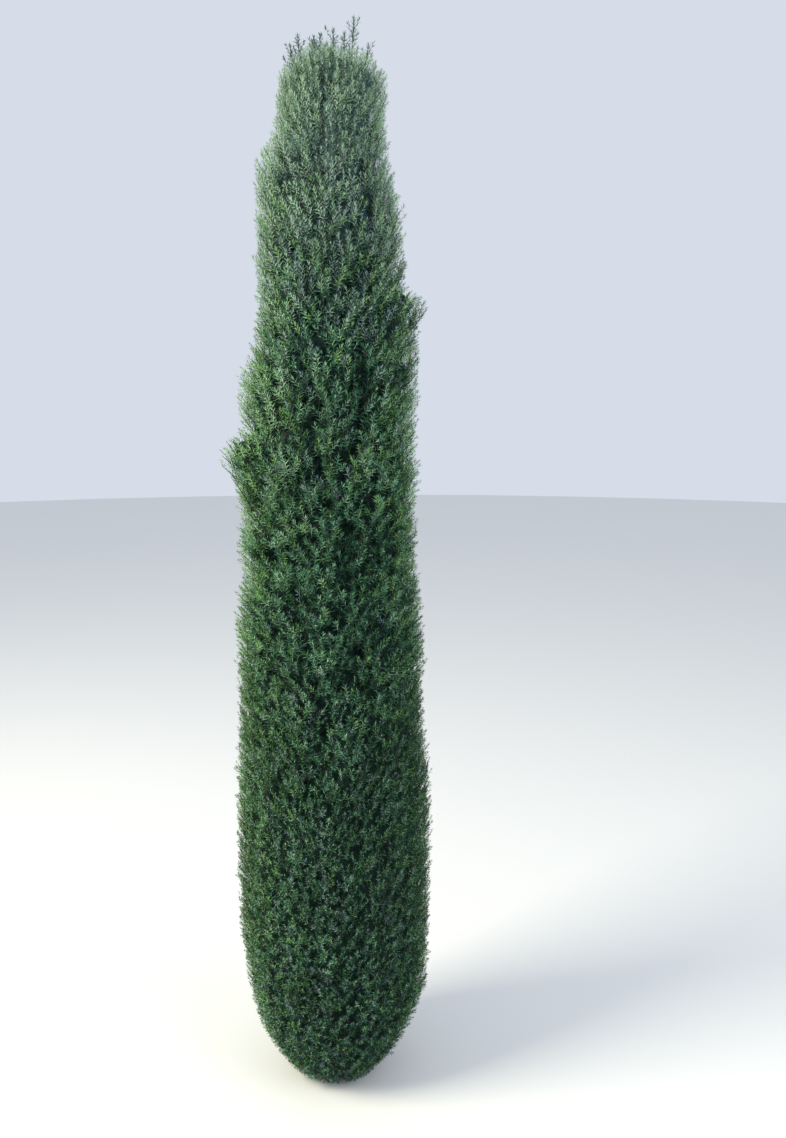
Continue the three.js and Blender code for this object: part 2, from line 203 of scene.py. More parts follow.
@dataclass
class Surface:
    """Points and the triangles between them."""

    points: Array
    corners: Array
    smooth: bool = True

    def turned_into(self, name: str, material: Material, slot: str) -> bpy.types.Object:
        """Makes a Blender object of the surface that rides on the plant's body.

        Args:
            name: The object's name.
            material: Its finish.
            slot: The record's material slot that the finish stands for. It is not used.

        Returns:
            The object.
        """
        mesh = bpy.data.meshes.new(name)
        faces = len(self.corners)
        mesh.vertices.add(len(self.points))
        mesh.vertices.foreach_set("co", self.points.astype(np.float32).ravel())
        mesh.loops.add(3 * faces)
        mesh.loops.foreach_set("vertex_index", self.corners.astype(np.int32).ravel())
        mesh.polygons.add(faces)
        mesh.polygons.foreach_set("loop_start", np.arange(0, 3 * faces, 3, dtype=np.int32))
        mesh.polygons.foreach_set("use_smooth", np.full(faces, self.smooth))
        mesh.update(calc_edges=True)
        mesh.materials.append(material)
        piece = placed(name, mesh)
        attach(piece, BODY)
        log.info("%s: %d triangles", name, faces)
        return piece


def joined(surfaces: list[Surface]) -> Surface:
    """Joins several surfaces into one.

    Args:
        surfaces: The surfaces, in order.

    Returns:
        One surface with all their points and triangles.
    """
    starts = np.cumsum([0] + [len(surface.points) for surface in surfaces[:-1]])
    points = np.concatenate([surface.points for surface in surfaces])
    corners = np.concatenate([surface.corners + start for surface, start in zip(surfaces, starts)])
    return Surface(points, corners)


def sleeve_corners(sides: int, rings: int, pointed: bool) -> Array:
    """Gives the triangles of a sleeve, from ring to ring and on to a point at its tip.

    Args:
        sides: How many points a ring has.
        rings: How many rings there are.
        pointed: Whether one more point closes the tip.

    Returns:
        One row of three point numbers for each triangle.
    """
    side = np.arange(sides)
    beside = (side + 1) % sides
    faces = []
    for ring in range(rings - 1):
        low, high = ring * sides, (ring + 1) * sides
        faces.append(np.stack([low + side, low + beside, high + beside], axis=-1))
        faces.append(np.stack([low + side, high + beside, high + side], axis=-1))
    if pointed:
        last = (rings - 1) * sides
        tip = np.full(sides, rings * sides)
        faces.append(np.stack([last + side, last + beside, tip], axis=-1))
    return np.concatenate(faces)


def repeated(corners: Array, points_each: int, count: int) -> Array:
    """Repeats the triangles of one shape for a count of like shapes, from the points that each has."""
    starts = np.arange(count)[:, None, None] * points_each
    return (corners[None] + starts).reshape(-1, 3)


@dataclass
class Curves:
    """Quadratic curves, one for each row of the three arrays of points."""

    start: Array
    bend: Array
    end: Array
    upright_limit: ClassVar[float] = 0.8
    straight_limit: ClassVar[float] = 1e-8

    def __len__(self) -> int:
        """Counts the curves."""
        return len(self.start)

    def picked(self, rows: Array) -> "Curves":
        """Gives the curves with the given row numbers."""
        return Curves(self.start[rows], self.bend[rows], self.end[rows])

    @staticmethod
    def gathered(groups: list["Curves"]) -> "Curves":
        """Joins groups of curves into one."""
        parts = ("start", "bend", "end")
        return Curves(*(np.concatenate([getattr(group, part) for group in groups]) for part in parts))

    def point(self, share: Values) -> Array:
        """Gives one place on each curve, a share of the way along."""
        part = np.asarray(share)[..., None] * np.ones((len(self), 1))
        return (1 - part) ** 2 * self.start + 2 * part * (1 - part) * self.bend + part**2 * self.end

    def tangent(self, share: Values) -> Array:
        """Gives the direction of each curve, a share of the way along."""
        part = np.asarray(share)[..., None] * np.ones((len(self), 1))
        return unit((1 - part) * (self.bend - self.start) + part * (self.end - self.bend))

    def length(self) -> Array:
        """Gives a close estimate of the length of each curve."""
        legs = distance(self.start, self.bend) + distance(self.bend, self.end)
        return (2 * distance(self.start, self.end) + legs) / 3

    def across(self) -> Array:
        """Gives one direction for each curve that is square to all of it.

        Returns:
            One direction for each curve.
        """
        plane = np.cross(self.bend - self.start, self.end - self.bend)
        chord = unit(self.end - self.start)
        along_x = np.abs(chord[:, :1]) >= self.upright_limit
        other = np.where(along_x, [[0.0, 1.0, 0.0]], [[1.0, 0.0, 0.0]])
        straight = np.linalg.norm(plane, axis=-1, keepdims=True) < self.straight_limit
        return unit(np.where(straight, np.cross(chord, other), plane))

    def sleeves(self, radii: Array, pointed: bool = False) -> Surface:
        """Wraps a tapering sleeve round each curve.

        Args:
            radii: Radii by curve, ring and side. The first axis may be one long, for curves alike.
            pointed: Whether the tip runs out to a point past the last ring.

        Returns:
            The surface of all the sleeves.
        """
        count = len(self)
        rings, sides = radii.shape[1:]
        shares = np.arange(rings) / (rings if pointed else rings - 1)
        angle = np.arange(sides)[:, None] / sides * FULL_TURN
        first = self.across()
        loops = []
        for ring, share in enumerate(shares):
            second = np.cross(self.tangent(share), first)
            outwards = np.cos(angle) * first[:, None] + np.sin(angle) * second[:, None]
            reach = np.broadcast_to(radii[:, ring], (count, sides))[..., None]
            loops.append(self.point(share)[:, None] + outwards * reach)
        if pointed:
            loops.append(self.end[:, None])
        points = np.concatenate(loops, axis=1)
        corners = sleeve_corners(sides, rings, pointed)
        return Surface(points.reshape(-1, 3), repeated(corners, points.shape[1], count))


@dataclass(frozen=True)
class Taper:
    """A plain tapering limb: its radii at the foot and the tip, and how finely its mesh is cut."""

    foot: float
    tip: float
    rings: int
    sides: int

    def around(self, curves: Curves, pointed: bool = False) -> Surface:
        """Wraps a sleeve with this taper round each curve."""
        radii = np.linspace(self.foot, self.tip, self.rings)[None, :, None]
        return curves.sleeves(radii * np.ones((1, 1, self.sides)), pointed)


@dataclass(frozen=True)
class Plume:
    """A place where the crown stands out of its column a little. Its azimuth is in degrees."""

    height: float
    azimuth: float
    reach: float
    spread_height: float = 0.095
    spread_turn: float = math.radians(32)

    def extra(self, azimuth: Values, height: Values) -> Values:
        """Gives the extra reach that the plume adds.

        Args:
            azimuth: Azimuths round the crown.
            height: Heights, one for each azimuth.

        Returns:
            One length for each place.
        """
        rise = (height - self.height) / self.spread_height
        turn = turn_between(math.radians(self.azimuth), azimuth) / self.spread_turn
        return self.reach * np.exp(-rise * rise - turn * turn)


@dataclass(frozen=True)
class Flank:
    """How far the crown stands out or back on one side, by height. Its azimuth is in degrees."""

    azimuth: float
    steps: tuple[Pair, ...]
    spread_turn: float = math.radians(50)

    def extra(self, azimuth: Values, height: Values) -> Values:
        """Gives the extra reach, less than 0 where the side stands back, at an azimuth and a height."""
        turn = turn_between(math.radians(self.azimuth), azimuth) / self.spread_turn
        return Course(*zip(*self.steps)).at(height) * np.exp(-turn * turn)


@dataclass(frozen=True)
class Hollow:
    """A place between two sprays, where shoots stand further back: darker by real shadow and by painted
    depth shade. Its angles are in degrees.
    """

    height: float
    azimuth: float
    depth: float
    tall: float
    breadth: float
    slant: float = 0.0

    def back(self, azimuth: Array, height: Array) -> Array:
        """Gives how far back shoots stand.

        Args:
            azimuth: Azimuths round the crown.
            height: Heights, one for each azimuth.

        Returns:
            One depth for each place.
        """
        rise = (height - self.height) / self.tall
        middle = math.radians(self.azimuth) + math.radians(self.slant) * (height - self.height)
        turn = turn_between(middle, azimuth) / math.radians(self.breadth)
        return self.depth * np.exp(-(rise**4) - turn * turn)


@dataclass
class Trunk:
    """The trunk, with its taper, its wander and its root flare."""

    height: float = 1.915
    foot_radius: float = 0.028
    tip_radius: float = 0.007
    wander: float = 0.005
    wander_turns: Pair = (5.2, 7.7)
    flare_reach: float = 0.015
    flare_height: float = 0.032
    flare_roots: int = 5
    flare_lobes: float = 0.25
    sides: int = 48
    rings: int = 200
    ring_crowding: float = 1.5
    ridge_depth: float = 0.0013
    ridges: int = 15
    ridge_turn: float = 0.35
    twist: float = 3.1
    twist_waves: tuple[Wave, ...] = (Wave(0.5, 0, 9), Wave(0.35, 3, 5))
    ridge_wave: Wave = Wave(1.8, 2, 31)
    flake_share: float = 0.3
    flake_columns: tuple[int, int] = (23, -67)
    flake_rows: Wave = Wave(1, 0, 83, bend=Wave(4, 5, 0))

    def radius(self, height: Values) -> Values:
        """Gives the trunk's radius at a height, without the flare."""
        return lerp(self.foot_radius, self.tip_radius, np.clip(height / self.height, 0, 1))

    def middle(self, height: Values) -> Array:
        """Gives the trunk's middle at a height: it stands upright and wanders a little."""
        x, y = (self.wander * np.sin(turns * (height / self.height)) for turns in self.wander_turns)
        return np.stack(np.broadcast_arrays(x, y, height), axis=-1)

    def ridge(self, azimuth: Array, height: Array) -> Array:
        """Gives the depth of the furrows between the strips of bark.

        Args:
            azimuth: Azimuths round the trunk.
            height: Heights on the trunk.

        Returns:
            Depths from 0 at the top of a strip to the full depth in a furrow.
        """
        twist = self.twist * height
        for wave in self.twist_waves:
            twist = twist + wave.at(azimuth, height)
        turned = self.ridges * (azimuth + self.ridge_turn * twist)
        strips = np.cos(turned + self.ridge_wave.at(azimuth, height))
        columns = np.cos(self.flake_columns[0] * azimuth + self.flake_columns[1] * height)
        flakes = columns * self.flake_rows.at(azimuth, height)
        return self.ridge_depth * (0.5 - 0.5 * strips + self.flake_share * flakes)

    def surface(self) -> Surface:
        """Makes the trunk's surface, from the flat cut at the ground to its tip.

        Returns:
            The surface, closed at both ends.
        """
        share = np.linspace(0, 1, self.rings)[:, None]
        height = self.height * share**self.ring_crowding
        azimuth = np.arange(self.sides)[None] / self.sides * FULL_TURN
        lobe = 1 - self.flare_lobes + self.flare_lobes * np.cos(self.flare_roots * azimuth)
        flare = self.flare_reach * lobe * np.exp(-height / self.flare_height)
        radius = self.radius(height) + flare - self.ridge(azimuth, height)
        rings = self.middle(height) + polar(radius, azimuth, 0)
        foot, tip = self.middle(0)[None], self.middle(self.height)[None]
        points = np.concatenate([rings.reshape(-1, 3), tip, foot])
        corners = sleeve_corners(self.sides, self.rings, True)
        side = np.arange(self.sides)
        under = np.stack([(side + 1) % self.sides, side, np.full(self.sides, len(points) - 1)], axis=-1)
        return Surface(points, np.concatenate([corners, under]))


@dataclass
class Crown:
    """The crown's form: its outline, its plumes, and the seams and sides that part its masses."""

    trunk: Trunk
    outline: tuple[Pair, ...] = (
        (0.000, 0.088),
        (0.060, 0.140),
        (0.160, 0.190),
        (0.360, 0.219),
        (0.660, 0.217),
        (1.220, 0.200),
        (1.570, 0.193),
        (1.780, 0.167),
        (1.990, 0.147),
        (2.190, 0.117),
        (2.262, 0.086),
        (2.296, 0.000),
    )
    plumes: tuple[Plume, ...] = (
        Plume(1.450, 183, 0.034),
        Plume(1.750, 8, 0.014),
        Plume(1.230, 70, 0.016),
        Plume(0.880, 128, 0.012),
        Plume(0.560, 300, 0.008),
    )
    left_flank: Flank = Flank(
        180,
        (
            (0.90, 0.000), (1.13, 0.006), (1.21, -0.007), (1.25, 0.000), (1.30, -0.002), (1.33, -0.012),
            (1.40, 0.000), (1.47, 0.016), (1.50, -0.015), (1.53, -0.028), (1.56, -0.005), (1.62, 0.000),
            (1.66, -0.018), (1.70, -0.024), (1.85, -0.013), (2.07, 0.004), (2.11, -0.020), (2.15, -0.027),
            (2.20, -0.018), (2.24, -0.002), (2.27, -0.018),
        ),
    )
    right_flank: Flank = Flank(
        0,
        (
            (0.16, 0.000), (0.21, 0.013), (0.27, 0.010), (0.33, 0.000), (0.77, -0.002), (0.80, -0.011),
            (0.93, -0.011), (1.05, 0.000), (1.22, -0.019), (1.27, -0.013), (1.38, -0.010), (1.50, -0.018),
            (1.64, 0.000), (1.74, 0.003), (1.78, 0.028), (1.82, -0.018), (1.85, -0.009), (1.95, -0.006),
            (2.07, -0.018), (2.15, -0.018), (2.24, 0.018), (2.30, 0.010),
        ),
    )
    hollows: tuple[Hollow, ...] = (
        Hollow(2.150, -91, 0.009, 0.090, 7, 40),
        Hollow(2.040, -97, 0.009, 0.050, 8),
        Hollow(1.985, -54, 0.016, 0.055, 7),
        Hollow(2.020, -112, 0.010, 0.025, 6),
        Hollow(1.900, -87, 0.014, 0.022, 9),
        Hollow(1.890, -125, 0.010, 0.030, 7),
        Hollow(1.830, -67, 0.016, 0.035, 7),
        Hollow(1.590, -66, 0.020, 0.075, 7),
        Hollow(1.500, -50, 0.012, 0.070, 6),
        Hollow(1.480, -100, 0.012, 0.040, 7),
        Hollow(1.260, -78, 0.020, 0.060, 7),
        Hollow(1.180, -105, 0.018, 0.035, 7),
        Hollow(0.980, -84, 0.012, 0.060, 5),
        Hollow(0.960, -97, 0.009, 0.070, 6),
        Hollow(0.630, -82, 0.007, 0.090, 4),
        Hollow(0.430, -136, 0.008, 0.070, 5),
        Hollow(0.300, -101, 0.006, 0.100, 4),
    )
    climb: float = 1.3
    sides: int = 5
    tiers: int = 5
    lowest_seam: float = -0.190
    highest_seam: float = 1.930
    seam_shifts: tuple[float, ...] = (0, 0.34, -0.26, 0.16, -0.38)
    first_side: float = math.radians(-90)
    sway_angle: float = math.radians(7)
    sway_wavelength: float = 1.4
    cavity: float = 0.030
    core_gap: float = 0.005
    core_share: float = 0.78
    ground_gap: float = 0.012
    foot_climb: float = 0.42
    foot_height: float = 0.170
    place_passes: int = 12
    place_step: float = 0.6
    growth_step: float = 0.004
    rib_counts: tuple[int, int] = (29, 13)
    rib_depths: Pair = (0.006, 0.005)
    rib_power: int = 3
    rib_wander: tuple[Wave, Wave] = (Wave(2.4, 0, 2.9, 1.3), Wave(0.9, 4, 11))
    rib_wave: Wave = Wave(1.5, 3, 0)
    rib_top: float = 1.3
    rib_fade: float = 0.5
    least_rib: float = 0.3
    hollow_depth: float = 0.015
    hollow_strength: Course = Course((0.85, 1.25, 1.70, 1.90), (0.25, 0.8, 0.8, 0.2))
    hollow_start: float = 0.4
    hollow_span: float = 2.2
    hollow_waves: tuple[Wave, ...] = (
        Wave(1, 9, 0, bend=Wave(2.2, 0, 6)),
        Wave(1, 5, 19, 1),
        Wave(1, 14, -13, bend=Wave(2, 4, 7)),
    )
    least_radius: float = 0.001
    heights: Array = field(init=False)
    radii: Array = field(init=False)
    arcs: Array = field(init=False)
    face_out: Array = field(init=False)
    face_up: Array = field(init=False)

    def __post_init__(self) -> None:
        """Works out how long the outline is up to each of its points, and which way it faces."""
        self.heights, self.radii = np.array(self.outline).T
        rises, runs = np.diff(self.heights), np.diff(self.radii)
        self.arcs = np.concatenate([[0], np.cumsum(np.hypot(rises, runs))])
        faces = unit(np.stack([rises, -runs], axis=-1))
        corners = unit(np.concatenate([faces[:1], faces[:-1] + faces[1:], faces[-1:]]))
        self.face_out, self.face_up = corners.T

    @property
    def side_angle(self) -> float:
        """The angle that one side of the crown takes."""
        return FULL_TURN / self.sides

    def radius(self, height: Values) -> Values:
        """Gives the outline's radius at a height."""
        return np.interp(height, self.heights, self.radii)

    def height_at(self, arc: Array) -> Array:
        """Gives the height that is a length along the outline from its foot."""
        return np.interp(arc, self.arcs, self.heights)

    def reach(self, azimuth: Values, height: Values) -> Values:
        """Gives how far the crown reaches from the axis, plumes and flanks included."""
        flanks = self.left_flank.extra(azimuth, height) + self.right_flank.extra(azimuth, height)
        return self.radius(height) + self.plume_reach(azimuth, height) + flanks

    def plume_reach(self, azimuth: Values, height: Values) -> Values:
        """Gives how far the plumes alone add to the reach."""
        return sum(plume.extra(azimuth, height) for plume in self.plumes)

    def cavity_radius(self, height: Values) -> Values:
        """Gives the radius of the clear space round the trunk."""
        return self.trunk.radius(height) + self.cavity

    def side_centre(self, side: int, height: Values) -> Values:
        """Gives the azimuth of the middle of one side at a height."""
        sway = self.sway_angle * np.sin(FULL_TURN * height / self.sway_wavelength)
        return self.first_side + side * self.side_angle + sway

    def seam_level(self, side: int, tier: int) -> float:
        """Gives the level of the seam under a tier: the height at which it would meet the axis.

        Args:
            side: The side's number, from 0.
            tier: The tier's number, from 0 at the foot.

        Returns:
            The level.
        """
        if tier == 0:
            return self.lowest_seam
        if tier == self.tiers:
            return self.highest_seam
        return lerp(self.lowest_seam, self.highest_seam, (tier + self.seam_shifts[side]) / self.tiers)

    def seam_at_cavity(self, side: int, tier: int) -> float:
        """Gives the height at which a seam meets the clear space round the trunk."""
        reach = self.trunk.foot_radius + self.cavity
        return max(self.seam_level(side, tier) + self.climb * reach, self.ground_gap)

    def place_in_mass(self, side: int, tier: int, across: float, up: float, depth: float) -> Array:
        """Finds a place in a mass.

        Args:
            side: The mass's side.
            tier: The mass's tier.
            across: From -1 to 1 over its width.
            up: From 0 to 1 between its seams.
            depth: From 0 at its inner face to 1 at the face of its core.

        Returns:
            The point.
        """
        low = self.seam_level(side, tier) + self.core_gap
        high = self.seam_level(side, tier + 1) - self.core_gap
        level = lerp(low, high, up)
        radius = self.cavity_radius(level)
        azimuth = 0.0
        for _ in range(self.place_passes):
            height = max(level + self.climb * radius, self.ground_gap)
            half = self.side_angle / 2 - math.asin(self.core_gap / radius)
            azimuth = self.side_centre(side, height) + across * half
            face = self.core_share * self.reach(azimuth, height)
            radius = lerp(radius, lerp(self.cavity_radius(height), face, depth), self.place_step)
        return polar(radius, azimuth, max(level + self.climb * radius, self.ground_gap))

    def climb_from(self, height: Values) -> Values:
        """Gives how steeply shoots climb from a height: those near the ground lean out."""
        return self.climb * lerp(self.foot_climb, 1, np.clip(height / self.foot_height, 0, 1))

    def growth(self, roots: Array, directions: Array) -> Array:
        """Measures how far shoots grow from their roots before they reach the outline.

        Args:
            roots: The roots, one in each row.
            directions: Their directions, one in each row.

        Returns:
            One length for each root.
        """
        lengths = np.zeros(len(roots))
        inside = np.ones(len(roots), dtype=bool)
        while inside.any():
            lengths[inside] += self.growth_step
            points = roots + directions * lengths[:, None]
            inside &= radius_of(points) < self.reach(azimuth_of(points), points[:, 2])
        return lengths

    def crease(self, azimuth: Array, height: Array) -> Array:
        """Gives how far the foliage falls back from the outline, in creases between upright ribs.

        Args:
            azimuth: Azimuths round the crown.
            height: Heights, one for each azimuth.

        Returns:
            Depths, 0 or a little more on a rib.
        """
        wander = sum(wave.at(azimuth, height) for wave in self.rib_wander)
        ribs = 0.0
        for count, depth in zip(self.rib_counts, self.rib_depths):
            wave = count * (azimuth + wander / self.rib_counts[0]) + self.rib_wave.at(azimuth, height)
            ribs = ribs + depth * (0.5 - 0.5 * np.cos(wave)) ** self.rib_power
        strength = np.clip((self.rib_top - height) / self.rib_fade, self.least_rib, 1)
        folds = sum(wave.at(azimuth, height) for wave in self.hollow_waves)
        hollows = np.clip((folds - self.hollow_start) / self.hollow_span, 0, 1)
        hollows *= self.hollow_strength.at(height)
        places = sum(hollow.back(azimuth, height) for hollow in self.hollows)
        return strength * ribs + self.hollow_depth * hollows + places

    def on_outline(self, arc: Array, azimuth: Array, depth: Values) -> Array:
        """Places points by how far along the outline they are, from the foot to the top.

        Args:
            arc: Lengths along the outline.
            azimuth: Azimuths, one for each length.
            depth: How deep under the outline each point is.

        Returns:
            The points.
        """
        height = self.height_at(arc)
        out = np.interp(arc, self.arcs, self.face_out)
        up = np.interp(arc, self.arcs, self.face_up)
        radius = self.reach(azimuth, height) - depth * out
        return polar(np.maximum(radius, self.least_radius), azimuth, height - depth * up)

    def mass_of(self, points: Array) -> Array:
        """Finds the mass that each point belongs to.

        Args:
            points: Points, one in each row.

        Returns:
            The number tier * sides + side of each point's mass, and tiers * sides for the top.
        """
        azimuth, height = azimuth_of(points), points[:, 2]
        level = height - self.climb * radius_of(points)
        sides, tiers = range(self.sides), range(1, self.tiers)
        turns = [np.abs(turn_between(self.side_centre(side, height), azimuth)) for side in sides]
        side = np.argmin(turns, axis=0)
        seams = np.array([[self.seam_level(column, tier) for tier in tiers] for column in sides])
        tier = (level[:, None] > seams[side]).sum(axis=1)
        return np.where(level > self.highest_seam, self.tiers * self.sides, tier * self.sides + side)


def climbing(azimuth: Values, turn: Values, climb: Values) -> Array:
    """Gives directions that climb outwards, turned to the side of straight out."""
    return unit(polar(1.0, np.asarray(azimuth) + turn, climb))


@dataclass
class Mass:
    """The foliage at the tip of one bough: its bough, its stem and the twigs that leave the stem."""

    crown: Crown
    side: int
    tier: int
    bough_rise: float = 0.125
    bough_entry: float = 0.075
    lowest_entry: float = 0.150
    lowest_bough_foot: float = 0.020
    bough_bend: float = 0.4
    bough_clearance: float = 0.008
    bend_clearance: float = 0.012
    bough_foot_radius: float = 0.0085
    bough_tip_radius: float = 0.005
    bough_sides: int = 12
    bough_rings: int = 22
    bark_relief: float = 0.0006
    furrow_turns: tuple[int, int] = (5, 9)
    furrow_wave: Wave = Wave(1.4, 1, 17)
    stem_bend: float = 0.030
    stem_place: Place = (0, 0.7, 0.45)
    twig_spacing: float = 0.098
    foot_twig_spacing: float = 0.078
    foot_crowding: float = 1.5
    lowest_twig_level: float = -0.095
    twig_depth: float = 0.4
    twig_spread: float = 0.35
    first_seed: int = 101
    side_seed: int = 17
    tier_seed: int = 211
    core_draws: int = 24

    def bough(self) -> Curves:
        """Gives the path of the bough, from inside the trunk to where it enters the mass.

        Returns:
            One curve.
        """
        crown = self.crown
        low = crown.seam_at_cavity(self.side, self.tier)
        middle = (low + crown.seam_at_cavity(self.side, self.tier + 1)) / 2
        entry = max(low + self.bough_entry, min(self.lowest_entry, middle))
        rise = min(self.bough_rise, entry - self.lowest_bough_foot)
        azimuth = crown.side_centre(self.side, entry)
        reach = crown.cavity_radius(entry)
        foot = crown.trunk.middle(entry - rise)
        bend = polar(reach - self.bend_clearance, azimuth, entry - (1 - self.bough_bend) * rise)
        tip = polar(reach - self.bough_clearance, azimuth, entry)
        return Curves(foot[None], bend[None], tip[None])

    def bough_surface(self) -> Surface:
        """Makes the bough's surface, with the furrows of its bark.

        Returns:
            The surface, open at both ends.
        """
        ring = np.arange(self.bough_rings)[:, None] / (self.bough_rings - 1)
        angle = np.arange(self.bough_sides)[None] / self.bough_sides * FULL_TURN
        around, along = self.furrow_turns
        furrow = 0.5 - 0.5 * np.cos(around * angle + along * ring + self.furrow_wave.at(angle, ring))
        radii = lerp(self.bough_foot_radius, self.bough_tip_radius, ring) - self.bark_relief * furrow
        return self.bough().sleeves(radii[None])

    def stem(self) -> Curves:
        """Gives the path of the mass's stem, on from the bough's tip.

        Returns:
            One curve.
        """
        bough = self.bough()
        bend = bough.end + bough.tangent(1.0) * self.stem_bend
        end = self.crown.place_in_mass(self.side, self.tier, *self.stem_place)
        return Curves(bough.end, bend, end[None])

    def twig_roots(self) -> tuple[Array, Array]:
        """Finds where the mass's twigs fork, by the source's rule.

        Returns:
            The places where they fork, and how steeply they climb from there.
        """
        crown, side, tier = self.crown, self.side, self.tier
        numbers = seeded(self.first_seed + self.side_seed * side + self.tier_seed * tier)
        first = [next(numbers) for _ in range(self.core_draws + 1)][-1]
        low, high = crown.seam_level(side, tier), crown.seam_level(side, tier + 1)
        lowest = max(low, self.lowest_twig_level)
        twigs = round((high - lowest) / (self.foot_twig_spacing if tier == 0 else self.twig_spacing))
        crowding = self.foot_crowding if tier == 0 else 1
        roots = []
        for twig in range(twigs):
            level = lerp(lowest, high, ((twig + 0.5) / twigs) ** crowding)
            up = (level - low) / (high - low)
            across = 2 * self.twig_spread * ((first + twig * GOLDEN_SHARE) % 1 - 0.5)
            roots.append(crown.place_in_mass(side, tier, across, up, self.twig_depth))
        places = np.array(roots)
        return places, crown.climb_from(places[:, 2])


@dataclass
class Top:
    """The foliage on the trunk's tip: its stem, its twigs and the leader shoots above it."""

    crown: Crown
    stem_length: float = 0.160
    twigs: int = 10
    twig_heights: Pair = (2.015, 2.140)
    twig_depth: float = 0.35
    climbs: Pair = (1.25, 1.9)
    leader_foot: float = 0.6
    leader_root_height: float = 2.155
    leader_needles: float = 0.009
    leader_lean: float = 0.85
    leader_limb: Taper = Taper(0.0022, 0.0008, 8, 5)
    leaders: tuple[Place, ...] = (
        (0.055, -0.014, 2.350),
        (0.034, 0.026, 2.333),
        (0.014, -0.038, 2.320),
        (-0.016, 0.008, 2.325),
        (-0.034, 0.042, 2.322),
        (-0.060, -0.012, 2.318),
        (-0.079, 0.022, 2.308),
        (0.084, 0.016, 2.308),
        (0.008, 0.064, 2.312),
        (-0.024, -0.058, 2.300),
    )

    def stem(self) -> Curves:
        """Gives the path of the stem, on from the trunk's tip.

        Returns:
            One curve.
        """
        foot = self.crown.trunk.middle(self.crown.trunk.height)[None]
        tip = foot + [[0, 0, self.stem_length]]
        return Curves(foot, (foot + tip) / 2, tip)

    def twig_roots(self) -> tuple[Array, Array]:
        """Finds where the top's twigs fork, by the source's rule.

        Returns:
            The places where they fork, and how steeply they climb from there.
        """
        twig = np.arange(self.twigs)
        share = (twig + 0.5) / self.twigs
        azimuth = self.crown.first_side + twig * FULL_TURN * GOLDEN_SHARE
        height = lerp(*self.twig_heights, share)
        places = polar(self.twig_depth * self.crown.radius(height), azimuth, height)
        return places, lerp(*self.climbs, share)

    def leader_curves(self) -> Curves:
        """Gives the paths of the leader shoots, from the stem to their tips.

        Returns:
            One curve for each leader.
        """
        tips = np.array(self.leaders) - [0, 0, self.leader_needles]
        lean = np.array([self.leader_lean, self.leader_lean, 0])
        roots = tips * lean + [0, 0, self.leader_root_height]
        feet = np.repeat(self.stem().point(self.leader_foot), len(tips), axis=0)
        return Curves(feet, roots, tips)


@dataclass
class Skeleton:
    """All the limbs inside the crown, and the places on them from which branches can grow."""

    crown: Crown
    masses: list[Mass]
    top: Top
    fork_turns: tuple[float, ...] = (0, math.radians(-42), math.radians(42))
    fork_share: float = 0.62
    fork_lean: float = 0.8
    stem_tip_radius: float = 0.003
    stem_rings: int = 9
    stem_sides: int = 6
    twig_limb: Taper = Taper(0.0028, 0.0019, 5, 5)
    fork_limb: Taper = Taper(0.0019, 0.0009, 5, 4)
    stem_shares: Array = field(default_factory=lambda: np.linspace(0.05, 1, 12))
    twig_rise: float = 0.02
    falling_cost: float = 3
    twig_bend: float = 0.4
    limb_shares: Array = field(default_factory=lambda: np.linspace(0.15, 1, 7))
    stems: list[Curves] = field(init=False, default_factory=list)
    twigs: list[Curves] = field(init=False, default_factory=list)
    forks: list[Curves] = field(init=False, default_factory=list)

    def __post_init__(self) -> None:
        """Grows the stems, twigs and forks of every mass and of the top."""
        for mass in [*self.masses, self.top]:
            stem = mass.stem()
            roots, climbs = mass.twig_roots()
            self.stems.append(stem)
            self.twigs.append(self.twigs_from(stem, roots))
            self.forks.append(self.forks_from(roots, climbs))

    def twigs_from(self, stem: Curves, roots: Array) -> Curves:
        """Leads a twig from the stem to each place where twigs fork.

        Args:
            stem: The stem's path.
            roots: The places where twigs fork.

        Returns:
            One curve for each place.
        """
        along = np.concatenate([stem.point(share) for share in self.stem_shares])
        gap = distance(along[None], roots[:, None])
        above = np.maximum(along[None, :, 2] - roots[:, None, 2] + self.twig_rise, 0)
        feet = along[np.argmin(gap + self.falling_cost * above, axis=1)]
        bend = lerp(feet, roots, 0.5)
        bend[:, :2] = lerp(bend[:, :2], roots[:, :2], self.twig_bend)
        return Curves(feet, bend, roots)

    def forks_from(self, roots: Array, climbs: Array) -> Curves:
        """Grows three forks from each place where twigs fork: straight on, and to each side.

        Args:
            roots: The places where twigs fork.
            climbs: How steeply the forks climb from each place.

        Returns:
            Three curves for each place.
        """
        azimuth = azimuth_of(roots)
        forks = []
        for turn in self.fork_turns:
            direction = climbing(azimuth, turn, climbs)
            length = self.fork_share * self.crown.growth(roots, direction)[:, None]
            start = climbing(azimuth, turn / 2, climbs * self.fork_lean)
            forks.append(Curves(roots, roots + start * length / 2, roots + direction * length))
        return Curves.gathered(forks)

    def sites(self, mass: int) -> Array:
        """Lists the places on a mass's twigs and forks from which branches can grow."""
        limbs = (self.twigs[mass], self.forks[mass])
        return np.concatenate([limb.point(share) for limb in limbs for share in self.limb_shares])

    def surface(self, masses: list[int]) -> Surface:
        """Makes the surface of the stems, twigs and forks of some masses.

        Args:
            masses: The masses' numbers.

        Returns:
            One surface.
        """
        parts = []
        for mass in masses:
            on_bough = mass < len(self.masses)
            foot = self.masses[mass].bough_tip_radius if on_bough else self.crown.trunk.tip_radius
            stem = Taper(foot, self.stem_tip_radius, self.stem_rings, self.stem_sides)
            parts.append(stem.around(self.stems[mass]))
            parts.append(self.twig_limb.around(self.twigs[mass]))
            parts.append(self.fork_limb.around(self.forks[mass]))
        return joined(parts)


def habit(*values: float) -> Course:
    """Gives the course of one trait of the shoots from its values at the six heights."""
    return Course(HABIT_HEIGHTS, values)


